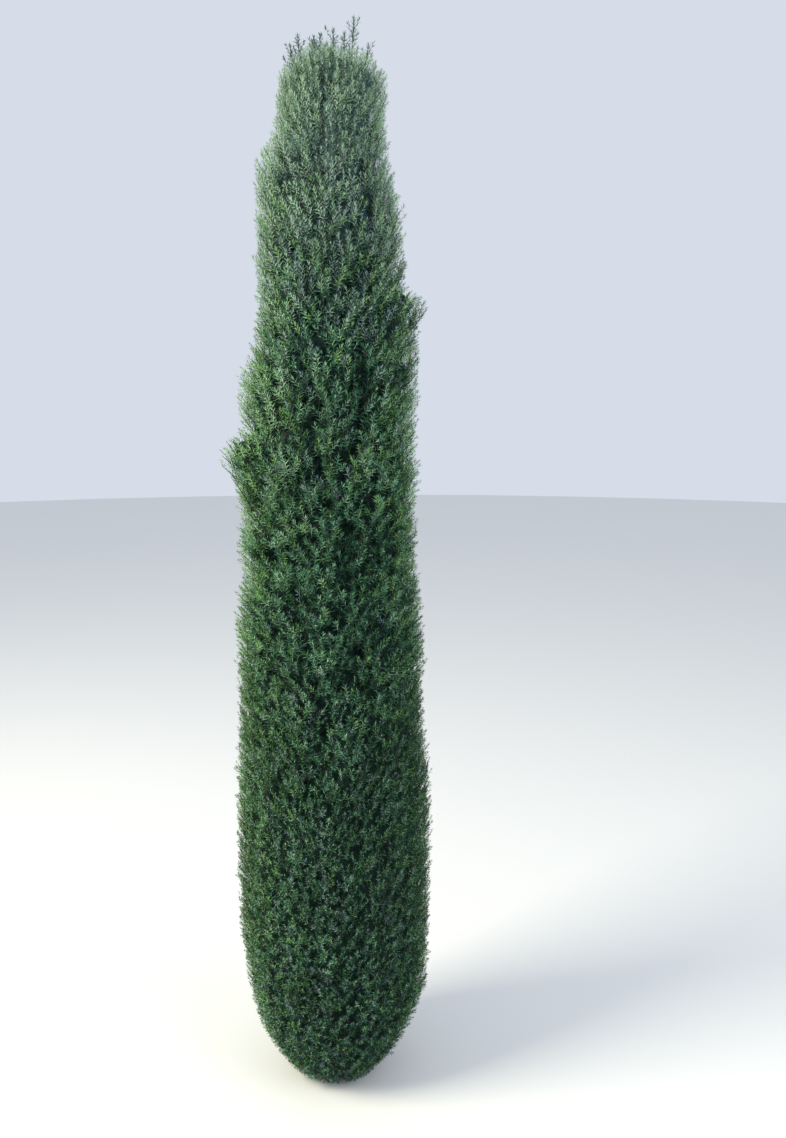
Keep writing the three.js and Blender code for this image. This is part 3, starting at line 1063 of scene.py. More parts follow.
@dataclass(frozen=True)
class Habits:
    """How shoots grow: fine at the foot, loose in the middle, upright at the top. Turns are in degrees."""

    proud: Course = habit(0.008, 0.013, 0.015, 0.017, 0.022, 0.015)
    bulge: Course = habit(0.002, 0.003, 0.013, 0.012, 0.009, 0.010)
    patch: Course = habit(0.032, 0.032, 0.043, 0.043, 0.040, 0.036)
    shoot_length: Course = habit(0.028, 0.030, 0.048, 0.050, 0.046, 0.046)
    bearing: Course = habit(0.027, 0.029, 0.041, 0.042, 0.040, 0.038)
    spacing: Course = habit(0.0037, 0.0038, 0.0043, 0.0043, 0.0043, 0.0042)
    needle_length: Course = habit(0.0087, 0.0087, 0.0125, 0.0125, 0.0115, 0.0110)
    needle_width: Course = habit(0.00135, 0.00135, 0.0014, 0.0014, 0.0014, 0.0014)
    climb: Course = habit(0.95, 1.90, 0.95, 1.20, 1.80, 2.40)
    turn: Course = habit(50, 56, 60, 52, 38, 32)
    # tone: how light shoots are by height; its rise towards the top is painted light, most of all for the
    # sky's glare on the crown's top
    tone: Course = habit(0.37, 0.39, 0.49, 0.58, 0.94, 1.14)
    # painted shade: how much darker needles are made for each metre that their shoot stands under the
    # outline
    painted_depth_shade: Course = habit(7, 7, 9, 8, 2, 2)
    variety: Course = habit(0.02, 0.02, 0.08, 0.09, 0.05, 0.05)
    needle_variety: Course = habit(0.28, 0.28, 0.16, 0.16, 0.14, 0.14)
    fade: Course = habit(0.08, 0.08, 0.24, 0.22, 0.14, 0.14)


class Cast(IntEnum):
    """How the greens of a shoot are turned: to fresh yellow-green, partly painted light on the lit sides;
    to blue-grey bloom; or to bloom with lifted darks, as painted glare.
    """

    PLAIN = 0
    FRESH = 1
    HAZY = 2
    # painted glare: the bloom tints with their darks lifted, for the sky's glare on the top
    MISTY = 3


@dataclass
class Shoots:
    """Leafy shoots: their paths, their needles' size, how light they are and where they belong."""

    curves: Curves
    needle_length: Array
    needle_width: Array
    bearing: Array
    spacing: Array
    tone: Array
    cast: Array
    mass: Array
    needle_variety: Array
    fade: Array

    @staticmethod
    def gathered(groups: list["Shoots"]) -> "Shoots":
        """Joins groups of shoots into one.

        Args:
            groups: The groups.

        Returns:
            All their shoots.
        """
        traits = [trait.name for trait in fields(Shoots) if trait.name != "curves"]
        joins = [np.concatenate([getattr(group, trait) for group in groups]) for trait in traits]
        return Shoots(Curves.gathered([group.curves for group in groups]), *joins)


@dataclass
class Patches:
    """Patches of shoots: where their middles are on the outline, their tone and their branches."""

    arc: Array
    azimuth: Array
    breadth: Array
    uneven: Array
    lean: Array
    tone: Array
    branches: Curves
    masses: Array

    def __len__(self) -> int:
        """Counts the patches."""
        return len(self.arc)


@dataclass
class Growth:
    """Branches and shoots that fill the crown out to its outline."""

    crown: Crown
    skeleton: Skeleton
    habits: Habits = field(default_factory=Habits)
    seed: int = 4157
    lowest_arc: float = 0.004
    top_gap: float = 0.002
    arc_steps: int = 2000
    least_radius: float = 0.01
    patch_jitter: float = 0.22
    rough_base: float = 0.003
    rough_share: float = 0.45
    climb_spread: float = 0.5
    steep_radius: float = 0.11
    steepest: float = 0.25
    branch_depth: float = 0.008
    branch_climb: float = 0.45
    branch_rise: float = 0.02
    falling_cost: float = 3
    least_branch: float = 0.05
    short_cost: float = 2
    branch_limb: Taper = Taper(0.0012, 0.0006, 5, 3)
    lowest_point: float = 0.006
    bend_share: float = 0.55
    patch_shoots: int = 9
    patch_overlap: float = 1.3
    deep_share: float = 0.34
    deep_reach: float = 0.7
    deep_depths: Pair = (0.012, 0.034)
    deep_sparse: float = 1.5
    outer_depths: Pair = (0.000, 0.012)
    outer_turn: float = 0.15
    reach_spread: Pair = (0.8, 1.2)
    least_turn_radius: float = 0.03
    plume_gaps: Pair = (0.0, 0.7)
    stray_share: float = 0.06
    stray_reach: Pair = (0.002, 0.008)
    spray_lean: float = 0.6
    fan_lean: float = 0.45
    shoot_lean: float = 0.22
    shoot_spread: Pair = (0.8, 1.25)
    shoot_feet: tuple[float, ...] = (0.018, 0.030, 0.044, 0.060, 0.080)
    lowest_foot: float = 0.05
    aside_cost: float = 0.05
    stem_limb: Taper = Taper(0.0008, 0.0005, 2, 3)
    needle_spread: Pair = (0.88, 1.12)
    shoot_variety: float = 0.05
    # painted light: how much lighter shoots are made on the west and on the east side, by height
    west_painted_light: Course = Course((0.8, 1.2, 1.4, 1.6, 1.85, 2.15), (0.11, 0.16, 0.22, 0.15, 0.02, 0.06))
    east_painted_light: Course = Course((0.3, 0.9, 1.2, 1.4, 1.6, 2.1), (-0.04, 0.00, 0.04, 0.16, 0.08, 0.00))
    # fresh growth, dealt far more to the west and east sides: partly real new growth, partly painted light
    # turning the lit sides yellow-green
    fresh_and_sunlit_shares: Pair = (0.14, 0.95)
    fresh_clear: Course = Course((1.60, 2.10), (1.0, 0.5))
    east_fresh_and_lit: float = 0.6
    # share of blue-grey bloom by height; its rise to the top is painted glare
    bloom_and_glare: Course = Course((0.0, 0.8, 1.1, 1.6, 2.0), (0.30, 0.18, 0.04, 0.10, 0.90))
    painted_glare_heights: Pair = (1.65, 2.05)
    random: np.random.Generator = field(init=False)

    def __post_init__(self) -> None:
        """Starts the growth's own run of random numbers."""
        self.random = np.random.default_rng(self.seed)

    @property
    def highest_arc(self) -> float:
        """The length along the outline at which the highest patches stand."""
        return self.crown.arcs[-1] - self.top_gap

    def patch_centres(self) -> tuple[Array, Array, Array]:
        """Spreads the middles of the patches evenly over the outline.

        Returns:
            Their lengths along the outline, their azimuths and the patches' breadths.
        """
        steps = np.linspace(self.lowest_arc, self.highest_arc, self.arc_steps)
        heights = self.crown.height_at(steps)
        radii = np.maximum(self.crown.radius(heights), self.least_radius)
        breadths = self.habits.patch.at(heights)
        crowding = FULL_TURN * radii / breadths**2
        passed = np.concatenate([[0], np.cumsum((crowding[1:] + crowding[:-1]) / 2 * np.diff(steps))])
        number = np.arange(int(passed[-1]))
        arc = np.interp(number + 0.5, passed, steps)
        breadth = np.interp(arc, steps, breadths)
        jitter = (-self.patch_jitter, self.patch_jitter, len(arc))
        azimuth = number * FULL_TURN * GOLDEN_SHARE
        azimuth = azimuth + self.random.uniform(*jitter) * breadth / np.interp(arc, steps, radii)
        arc = arc + self.random.uniform(*jitter) * breadth
        return np.clip(arc, steps[0], steps[-1]), azimuth % FULL_TURN, breadth

    def directions(self, points: Array, lean: Array) -> Array:
        """Gives the way that shoots point at their tips.

        Args:
            points: The tips, one in each row.
            lean: How far each shoot strays aside and up, both from about -1 to 1.

        Returns:
            One direction for each tip.
        """
        height = points[:, 2]
        climb = self.habits.climb.at(height) * np.exp(self.climb_spread * lean[:, 1])
        turn = np.radians(self.habits.turn.at(height)) * lean[:, 0]
        steepness = np.clip(radius_of(points) / self.steep_radius, self.steepest, 1)
        return climbing(azimuth_of(points), turn, climb / steepness)

    def branches(self, centres: Array, directions: Array, masses: Array) -> Curves:
        """Leads a branch to the middle of each patch, from the twig of its mass that suits best.

        Args:
            centres: The middles of the patches.
            directions: The way that each branch points at its tip.
            masses: The number of each patch's mass.

        Returns:
            One curve for each patch.
        """
        feet = np.zeros_like(centres)
        for mass in np.unique(masses):
            rows = np.flatnonzero(masses == mass)
            sites = self.skeleton.sites(mass)
            gap = centres[rows][:, None] - sites[None]
            flat, size = radius_of(gap), np.linalg.norm(gap, axis=-1)
            climb = self.branch_climb * self.crown.climb_from(centres[rows][:, 2])[:, None]
            falling = np.maximum(climb * flat + self.branch_rise - gap[..., 2], 0)
            short = np.maximum(self.least_branch - size, 0)
            cost = size + self.falling_cost * falling + self.short_cost * short
            feet[rows] = sites[np.argmin(cost, axis=1)]
        return self.bent(feet, centres, directions)

    def bent(self, feet: Array, tips: Array, directions: Array) -> Curves:
        """Bends curves from their feet into the directions at their tips, all above the ground.

        Args:
            feet: Where the curves start.
            tips: Where they end.
            directions: The way that each points at its tip.

        Returns:
            One curve for each tip.
        """
        bend = tips - directions * distance(feet, tips)[:, None] * self.bend_share
        lowest = [-np.inf, -np.inf, self.lowest_point]
        return Curves(*(np.maximum(points, lowest) for points in (feet, bend, tips)))

    def patches(self) -> Patches:
        """Sets the patches of shoots and leads a branch to each.

        Returns:
            The patches.
        """
        arc, azimuth, breadth = self.patch_centres()
        count = len(arc)
        height = self.crown.height_at(arc)
        rough = self.rough_base + self.rough_share * self.habits.bulge.at(height)
        uneven = self.random.uniform(0, 1, count) * rough - self.habits.proud.at(height)
        depth = self.crown.crease(azimuth, height) + uneven + self.branch_depth
        centres = self.crown.on_outline(arc, azimuth, depth)
        masses = self.crown.mass_of(centres)
        lean = self.random.uniform(-1, 1, (count, 2)) * self.spray_lean
        branches = self.branches(centres, self.directions(centres, lean), masses)
        tone = self.random.normal(0, 1, count) * self.habits.variety.at(height)
        return Patches(arc, azimuth, breadth, uneven, lean, tone, branches, masses)

    def shoots(self, patches: Patches) -> Shoots:
        """Grows the shoots of all the patches: first their outer ones, then some deeper ones."""
        return Shoots.gathered([self.one_in_each(patches, number) for number in range(self.patch_shoots)])

    def one_in_each(self, patches: Patches, number: int) -> Shoots:
        """Grows one shoot in each patch.

        Args:
            patches: The patches.
            number: The shoot's number in its patch, from 0 in the middle.

        Returns:
            The shoots.
        """
        count, random = len(patches), self.random
        outer = self.patch_shoots * (1 - self.deep_share)
        deep = number >= round(outer)
        out = self.deep_reach if deep else math.sqrt((number + 0.5) / outer)
        jitter = random.uniform(0, FULL_TURN, count) * (1 if deep else self.outer_turn)
        angle = number * FULL_TURN * GOLDEN_SHARE + jitter
        reach = out * patches.breadth / 2 * self.patch_overlap * random.uniform(*self.reach_spread, count)
        arc = np.clip(patches.arc + reach * np.sin(angle), self.lowest_arc, self.highest_arc)
        middle_height = self.crown.height_at(patches.arc)
        turn_radius = np.maximum(self.crown.radius(middle_height), self.least_turn_radius)
        azimuth = patches.azimuth + reach * np.cos(angle) / turn_radius
        height = self.crown.height_at(arc)
        bulge = self.habits.bulge.at(middle_height) * min(out, 1) ** 2
        ragged = self.crown.plume_reach(azimuth, height) * random.uniform(*self.plume_gaps, count)
        depth = self.crown.crease(azimuth, height) + patches.uneven + bulge + ragged
        depth += random.uniform(*(self.deep_depths if deep else self.outer_depths), count)
        stray = random.random(count) < self.stray_share
        depth -= stray * random.uniform(*self.stray_reach, count)
        tips = self.crown.on_outline(arc, azimuth, depth)
        fan = np.stack([np.cos(angle), np.sin(angle)], axis=-1) * min(out, 1) * self.fan_lean
        own_lean = random.normal(0, self.shoot_lean, (count, 2))
        directions = self.directions(tips, patches.lean + fan * (not deep) + own_lean)
        grown = self.shoots_at(tips, directions, depth, patches)
        grown.spacing *= self.deep_sparse if deep else 1
        return grown

    def shoots_at(self, tips: Array, directions: Array, depth: Array, patches: Patches) -> Shoots:
        """Grows one shoot on the branch of each patch.

        Args:
            tips: The tip of each shoot.
            directions: The way that each shoot points at its tip.
            depth: How deep under the outline each tip is.
            patches: The patches.

        Returns:
            The shoots.
        """
        habits, height = self.habits, tips[:, 2]
        curves = self.bent(self.feet_of(tips, directions, patches.branches), tips, directions)
        unequal = self.random.uniform(*self.needle_spread, len(tips))
        return Shoots(
            curves=curves,
            needle_length=habits.needle_length.at(height) * unequal,
            needle_width=habits.needle_width.at(height),
            bearing=np.minimum(curves.length(), habits.bearing.at(height)),
            spacing=habits.spacing.at(height),
            tone=self.tones(tips, depth, patches.tone),
            cast=self.casts(tips),
            mass=patches.masses,
            needle_variety=habits.needle_variety.at(height),
            fade=habits.fade.at(height),
        )

    def feet_of(self, tips: Array, directions: Array, branches: Curves) -> Array:
        """Finds where shoots leave their branches: where their length comes out best.

        Args:
            tips: The tip of each shoot.
            directions: The way that each shoot points at its tip.
            branches: The branches, one for each shoot.

        Returns:
            The foot of each shoot.
        """
        count = len(tips)
        wanted = self.habits.shoot_length.at(tips[:, 2]) * self.random.uniform(*self.shoot_spread, count)
        length = branches.length()
        best = np.full(count, np.inf)
        feet = np.zeros_like(tips)
        for back in self.shoot_feet:
            site = branches.point(np.clip(1 - back / length, self.lowest_foot, 1))
            aside = 1 - (unit(tips - site) * directions).sum(axis=-1)
            cost = np.abs(distance(site, tips) - wanted) + self.aside_cost * aside
            nearer = cost < best
            best[nearer] = cost[nearer]
            feet[nearer] = site[nearer]
        return feet

    def tones(self, tips: Array, depth: Array, patch_tone: Array) -> Array:
        """Gives how light shoots are: by height, lighter at the top as painted glare; by side, as painted
        light; darker by depth, as painted shade; and by patch.

        Args:
            tips: The tip of each shoot.
            depth: How deep under the outline each tip is.
            patch_tone: How much lighter each shoot's patch is.

        Returns:
            One tone for each shoot.
        """
        height, west = tips[:, 2], -np.cos(azimuth_of(tips))
        # painted light: shoots on the west and east sides are made lighter, as if lit from there
        lit = np.clip(west, 0, 1) * self.west_painted_light.at(height)
        lit += np.clip(-west, 0, 1) * self.east_painted_light.at(height)
        # painted shade: the deeper a shoot stands, the darker its needles
        tone = self.habits.tone.at(height) + patch_tone + lit - self.habits.painted_depth_shade.at(height) * depth
        return tone + self.random.normal(0, self.shoot_variety, len(tips))

    def casts(self, tips: Array) -> Array:
        """Deals out the casts: fresh yellow-green, more on the lit west and east as partly painted light;
        blue-grey bloom here and there below; near the top, bloom with painted glare.

        Args:
            tips: The tip of each shoot.

        Returns:
            The cast of each shoot.
        """
        count, height = len(tips), tips[:, 2]
        west = -np.cos(azimuth_of(tips))
        share = lerp(*self.fresh_and_sunlit_shares, np.clip(west, 0, 1) ** 2)
        share += self.east_fresh_and_lit * np.clip(-west, 0, 1) ** 2
        fresh = self.random.random(count) < share * self.fresh_clear.at(height)
        hazy = self.random.random(count) < self.bloom_and_glare.at(height)
        high = height > self.random.uniform(*self.painted_glare_heights, count)
        return np.select([fresh, hazy & high, hazy], [Cast.FRESH, Cast.MISTY, Cast.HAZY], Cast.PLAIN)


@dataclass(frozen=True)
class Bearing:
    """How leaders or their side shoots bear needles: the needles' length, the most length and the tone."""

    needle_length: float
    most: float
    tone: float


@dataclass
class Leaders:
    """The leaders above the top, and the small side shoots on them, with their needles."""

    leaders: Curves
    mass: int
    random: np.random.Generator
    side_shoots: int = 12
    first_side_shoot: float = 0.020
    side_shoot_step: float = 0.0115
    leader_turn: float = 1.7
    side_leans: Pair = (0.42, 0.66)
    side_lengths: Pair = (0.022, 0.0024)
    side_spread: Pair = (0.75, 1.25)
    side_bow: float = 1.5
    leader_bearing: Bearing = Bearing(0.0125, 0.165, 0.50)
    side_bearing: Bearing = Bearing(0.0115, 1.0, 0.48)
    needle_width: float = 0.0019
    spacing: float = 0.0042
    variety: float = 0.08
    # painted glare: the share of leaders dealt the glare cast
    painted_glare_share: float = 0.7
    needle_variety: float = 0.14
    fade: float = 0.24

    def grown(self) -> Shoots:
        """Grows the leaders and their side shoots, from the tips down.

        Returns:
            The shoots.
        """
        leaders, count = self.leaders, len(self.leaders)
        groups = [self.dressed(leaders, self.leader_bearing)]
        for number in range(self.side_shoots):
            share = 1 - (self.first_side_shoot + self.side_shoot_step * number) / leaders.length()
            feet, along = leaders.point(share), leaders.tangent(share)
            turn = number * FULL_TURN * GOLDEN_SHARE + np.arange(count) * self.leader_turn
            aside = polar(1.0, turn, 0.0)
            lean = self.random.uniform(*self.side_leans, count)[:, None]
            length = self.side_lengths[0] + self.side_lengths[1] * number
            size = length * self.random.uniform(*self.side_spread, count)[:, None]
            tips = feet + unit(along + lean * aside) * size
            bend = feet + unit(along + self.side_bow * lean * aside) * size * 0.5
            groups.append(self.dressed(Curves(feet, bend, tips), self.side_bearing))
        return Shoots.gathered(groups)

    def dressed(self, curves: Curves, bearing: Bearing) -> Shoots:
        """Gives shoots along curves that all bear needles alike.

        Args:
            curves: The shoots' paths.
            bearing: How they bear their needles.

        Returns:
            The shoots.
        """
        count = len(curves)
        return Shoots(
            curves=curves,
            needle_length=np.full(count, bearing.needle_length),
            needle_width=np.full(count, self.needle_width),
            bearing=np.minimum(curves.length(), bearing.most),
            spacing=np.full(count, self.spacing),
            tone=bearing.tone + self.random.normal(0, self.variety, count),
            cast=np.where(self.random.random(count) < self.painted_glare_share, Cast.MISTY, Cast.PLAIN),
            mass=np.full(count, self.mass),
            needle_variety=np.full(count, self.needle_variety),
            fade=np.full(count, self.fade),
        )


class NeedleTint(Enum):
    """The greens that needles come in, with red, green and blue parts from 0 to 255."""

    DEEP = (13, 40, 33)
    SHADE = (27, 65, 53)
    MID = (53, 100, 80)
    LIGHT = (88, 141, 105)
    PALE = (138, 184, 144)
    SILVER = (170, 200, 170)
    # LEAF, FRESH and SUNNY: fresh yellow-green growth; dealt more to the lit sides, they are partly painted
    # light
    LEAF = (56, 104, 61)
    FRESH = (91, 146, 82)
    SUNNY = (144, 188, 118)
    # a dark lifted as painted glare, for the shaded needles at the top
    DUSK = (54, 78, 80)
    MIST = (72, 102, 102)
    BLOOM = (110, 139, 134)
    FROST = (154, 176, 170)

    @property
    def number(self) -> int:
        """The tint's place in the list, from 0."""
        return list(NeedleTint).index(self)

    @property
    def shade(self) -> Colour:
        """The darker colour that the tint varies towards."""
        return tuple(round(part * SHADE_SHARE) for part in self.value)


@dataclass
class Needles:
    """The needles on the shoots: whorls of three, each needle a folded blade."""

    shoots: Shoots
    seed: int = 977
    per_whorl: int = 3
    least_whorls: int = 2
    first_rank: float = 0.3
    rank_jitter: float = 0.2
    crowding: float = 1.35
    spread_angle: float = math.radians(68)
    tip_angle: float = math.radians(28)
    closing: float = 0.012
    turn_variety: float = 0.16
    tilt_variety: float = 0.14
    size_spread: Pair = (0.82, 1.15)
    tip_size: float = 0.72
    full_size_back: float = 0.03
    widest: float = 0.38
    fold: float = 0.3
    bow: float = 0.06
    floor: float = 0.003
    pale_tip: float = 0.026
    pale_tip_tone: float = 0.14
    tint_steps: tuple[float, ...] = (0.26, 0.42, 0.58, 0.77, 1.00)
    cast_tints: ClassVar[dict[Cast, str]] = {
        Cast.PLAIN: "DEEP SHADE MID LIGHT PALE SILVER",
        Cast.FRESH: "DEEP SHADE LEAF FRESH SUNNY SILVER",
        Cast.HAZY: "DEEP SHADE MIST BLOOM FROST SILVER",
        Cast.MISTY: "DUSK DUSK MIST BLOOM FROST SILVER",
    }

    def grown(self) -> tuple[Array, Array, Array]:
        """Grows every needle.

        Returns:
            The four points of each needle, the number of its tint and the number of its mass.
        """
        random = np.random.default_rng(self.seed)
        shoots = self.shoots
        whorls = np.maximum((shoots.bearing / shoots.spacing).astype(int), self.least_whorls)
        owner = np.repeat(np.arange(len(whorls)), whorls)
        order = np.arange(len(owner)) - np.repeat(np.cumsum(whorls) - whorls, whorls)
        jitter = random.uniform(-self.rank_jitter, self.rank_jitter, len(owner))
        rank = (order + self.first_rank + jitter) / whorls[owner]
        back = shoots.bearing[owner] * rank**self.crowding
        roll = random.uniform(0, FULL_TURN, len(whorls))[owner]
        roll = roll + order * FULL_TURN / (2 * self.per_whorl)
        tone = shoots.tone[owner] + self.pale_tip_tone - shoots.fade[owner] * (back > self.pale_tip)
        blades, tints = [], []
        for needle in range(self.per_whorl):
            angle = roll + needle * FULL_TURN / self.per_whorl
            blades.append(self.blades(owner, back, angle, random))
            own_tone = tone + random.normal(0, 1, len(owner)) * shoots.needle_variety[owner]
            tints.append(self.tints(own_tone, shoots.cast[owner]))
        points, tints = np.concatenate(blades), np.concatenate(tints)
        masses = np.tile(shoots.mass[owner], self.per_whorl)
        clear = points[..., 2].min(axis=1) > self.floor
        return points[clear], tints[clear], masses[clear]

    def blades(self, owner: Array, back: Array, angle: Array, random: np.random.Generator) -> Array:
        """Shapes one needle of each whorl: a blade folded along its middle and bowed a little.

        Args:
            owner: The number of each whorl's shoot.
            back: How far each whorl is from its shoot's tip.
            angle: The way that each needle turns round its shoot.
            random: The needles' run of random numbers.

        Returns:
            Four points for each needle: its root, one edge, its tip and the other edge.
        """
        shoots, count = self.shoots, len(owner)
        curves = shoots.curves.picked(owner)
        share = np.clip(1 - back / shoots.curves.length()[owner], 0, 1)
        roots, along, first = curves.point(share), curves.tangent(share), curves.across()
        opening = lerp(self.tip_angle, self.spread_angle, np.clip(back / self.closing, 0, 1))
        angle = (angle + random.normal(0, self.turn_variety, count))[:, None]
        tilt = (opening + random.normal(0, self.tilt_variety, count))[:, None]
        aside = np.cos(angle) * first + np.sin(angle) * np.cross(along, first)
        direction = np.cos(tilt) * along + np.sin(tilt) * aside
        size = shoots.needle_length[owner] * random.uniform(*self.size_spread, count)
        size = (size * np.clip(self.tip_size + back / self.full_size_back, 0, 1))[:, None]
        width = shoots.needle_width[owner][:, None]
        flat = unit(np.cross(along, direction))
        above = np.cross(direction, flat)
        middle = roots + direction * (size * self.widest) + above * (width * self.fold)
        tips = roots + direction * size + above * (size * self.bow)
        half = flat * (width / 2)
        return np.stack([roots, middle - half, tips, middle + half], axis=1)

    def tints(self, tone: Array, cast: Array) -> Array:
        """Picks the number of each needle's tint, from how light it is and from its shoot's cast."""
        table = [[NeedleTint[name].number for name in self.cast_tints[row].split()] for row in Cast]
        return np.array(table)[cast, np.searchsorted(self.tint_steps, tone)]

    @staticmethod
    def surface(points: Array) -> Surface:
        """Makes the surface of needles, two triangles each."""
        blade = np.array([[0, 1, 2], [0, 2, 3]])
        return Surface(points.reshape(-1, 3), repeated(blade, 4, len(points)), smooth=False)


@dataclass(frozen=True)
class Layer:
    """One layer of the inner growth: where it ends, its colours in painted shade, and the tint of its old
    needles.
    """

    name: str
    end: float
    tint: Colour
    shade: Colour
    needles: NeedleTint
    variation: float = 1.0
    specular: float = 0.1
    scale: float = 260.0

    @property
    def finish(self) -> "NeedleFinish":
        """The finish of the layer's surface."""
        looks = (self.tint, self.shade, self.variation, self.specular, self.scale)
        # painted shade: the surface's colours, lighter in the upper layers as painted glare
        return NeedleFinish(f"inner growth {self.name}", *looks)


@dataclass
class Thicket:
    """The dense growth inside the crown, behind the leafy shoots; its dark colours are painted shade."""

    crown: Crown
    seed: int = 311
    rows: int = 130
    columns: int = 84
    depths: Pair = (0.024, 0.046)
    lowest_arc: float = 0.020
    blades: int = 25000
    blade_depths: Pair = (0.016, 0.034)
    blade_lengths: Pair = (0.010, 0.018)
    blade_width: float = 0.0021
    # painted shade: the layers' dark colours and their old needles' tints; the upper layers are lighter, as
    # painted glare
    layers: tuple[Layer, ...] = (
        Layer("low", 0.85, (18, 42, 33), (8, 22, 17), NeedleTint.SHADE),
        Layer("middle", 1.60, (16, 38, 32), (7, 19, 18), NeedleTint.DEEP),
        Layer("high", 1.86, (24, 48, 46), (12, 28, 29), NeedleTint.SHADE),
        Layer("upper", 2.06, (46, 72, 72), (26, 44, 48), NeedleTint.DUSK),
        Layer("top", 2.40, (76, 104, 100), (44, 66, 66), NeedleTint.BLOOM),
    )
    layer_blur: float = 0.035
    depth_share: Course = Course((0.7, 1.1, 1.7, 2.0), (0.7, 1.0, 1.0, 0.8))
    crease_share: float = 0.8
    wall: float = 0.03
    least_room: float = 0.05
    lowest_point: float = 0.02
    arc_steps: int = 500
    least_radius: float = 0.01
    blade_turn: float = 1.3
    blade_climbs: Pair = (0.1, 2.5)
    blade_widest: float = 0.6
    floor: float = 0.003

    def depth(self, azimuth: Array, height: Array, depths: Array) -> Array:
        """Gives how deep under the outline the inner growth lies: less near the foot, more in a crease."""
        return depths * self.depth_share.at(height) + self.crease_share * self.crown.crease(azimuth, height)

    def surfaces(self) -> list[Surface]:
        """Makes the ragged surface of the inner growth.

        Returns:
            The surface of each layer, from the foot up.
        """
        random = np.random.default_rng(self.seed)
        row, column = np.arange(self.rows)[:, None], np.arange(self.columns)[None]
        levels = np.linspace(self.lowest_arc, self.crown.arcs[-1], self.rows)
        arc = np.repeat(levels[:, None], self.columns, axis=1)
        azimuth = column / self.columns * FULL_TURN + row % 2 * math.pi / self.columns
        height = self.crown.height_at(arc)
        depth = self.depth(azimuth, height, random.uniform(*self.depths, arc.shape))
        room = np.maximum(self.crown.radius(height) - self.wall, self.least_room)
        points = self.crown.on_outline(arc, azimuth, np.minimum(depth, room))
        points[..., 2] = np.maximum(points[..., 2], self.lowest_point)
        points = points.reshape(-1, 3)
        corners = sleeve_corners(self.columns, self.rows, False)
        layer = self.layer_of(points[corners, 2].mean(axis=1), random)
        surfaces = []
        for number in range(len(self.layers)):
            used, own = np.unique(corners[layer == number], return_inverse=True)
            surfaces.append(Surface(points[used], own.reshape(-1, 3), smooth=False))
        return surfaces

    def layer_of(self, heights: Array, random: np.random.Generator) -> Array:
        """Gives the number of the layer at each height. The layers run into each other a little."""
        blurred = heights + random.normal(0, self.layer_blur, len(heights))
        return np.searchsorted([layer.end for layer in self.layers[:-1]], blurred)

    def old_needles(self) -> list[Surface]:
        """Makes the old needles that stand on the inner growth.

        Returns:
            The surface of those of each layer, from the foot up.
        """
        random, count = np.random.default_rng(self.seed + 1), self.blades
        steps = np.linspace(self.lowest_arc, self.crown.arcs[-1], self.arc_steps)
        radii = np.maximum(self.crown.radius(self.crown.height_at(steps)), self.least_radius)
        passed = np.cumsum(radii)
        arc = np.interp(random.uniform(passed[0], passed[-1], count), passed, steps)
        azimuth = random.uniform(0, FULL_TURN, count)
        depths = random.uniform(*self.blade_depths, count)
        tips = self.crown.on_outline(arc, azimuth, self.depth(azimuth, self.crown.height_at(arc), depths))
        turn = random.uniform(-self.blade_turn, self.blade_turn, count)
        direction = climbing(azimuth, turn, random.uniform(*self.blade_climbs, count))
        length = random.uniform(*self.blade_lengths, count)[:, None]
        aside = unit(np.cross(direction, random.normal(0, 1, (count, 3)))) * self.blade_width / 2
        roots, middle = tips - direction * length, tips - direction * length * self.blade_widest
        points = np.stack([roots, middle - aside, tips, middle + aside], axis=1)
        lowest = points[..., 2].min(axis=1)
        clear = lowest > self.floor
        points, layer = points[clear], self.layer_of(lowest[clear], random)
        return [Needles.surface(points[layer == number]) for number in range(len(self.layers))]


@dataclass(frozen=True)
class Noise:
    """A noise: its scale, how many finer layers it has and how strong they are."""

    scale: float
    detail: float
    rough: float

    @property
    def entries(self) -> dict[str, float]:
        """What the inputs of a noise node get."""
        return {"Scale": self.scale, "Detail": self.detail, "Roughness": self.rough}


@dataclass(frozen=True)
class Span:
    """A range of values, and the range that it is mapped to."""

    low: float
    high: float
    to_low: float = 0.0
    to_high: float = 1.0

    @property
    def entries(self) -> dict[str, float]:
        """What the inputs of a mapping node get."""
        return {"From Min": self.low, "From Max": self.high, "To Min": self.to_low, "To Max": self.to_high}


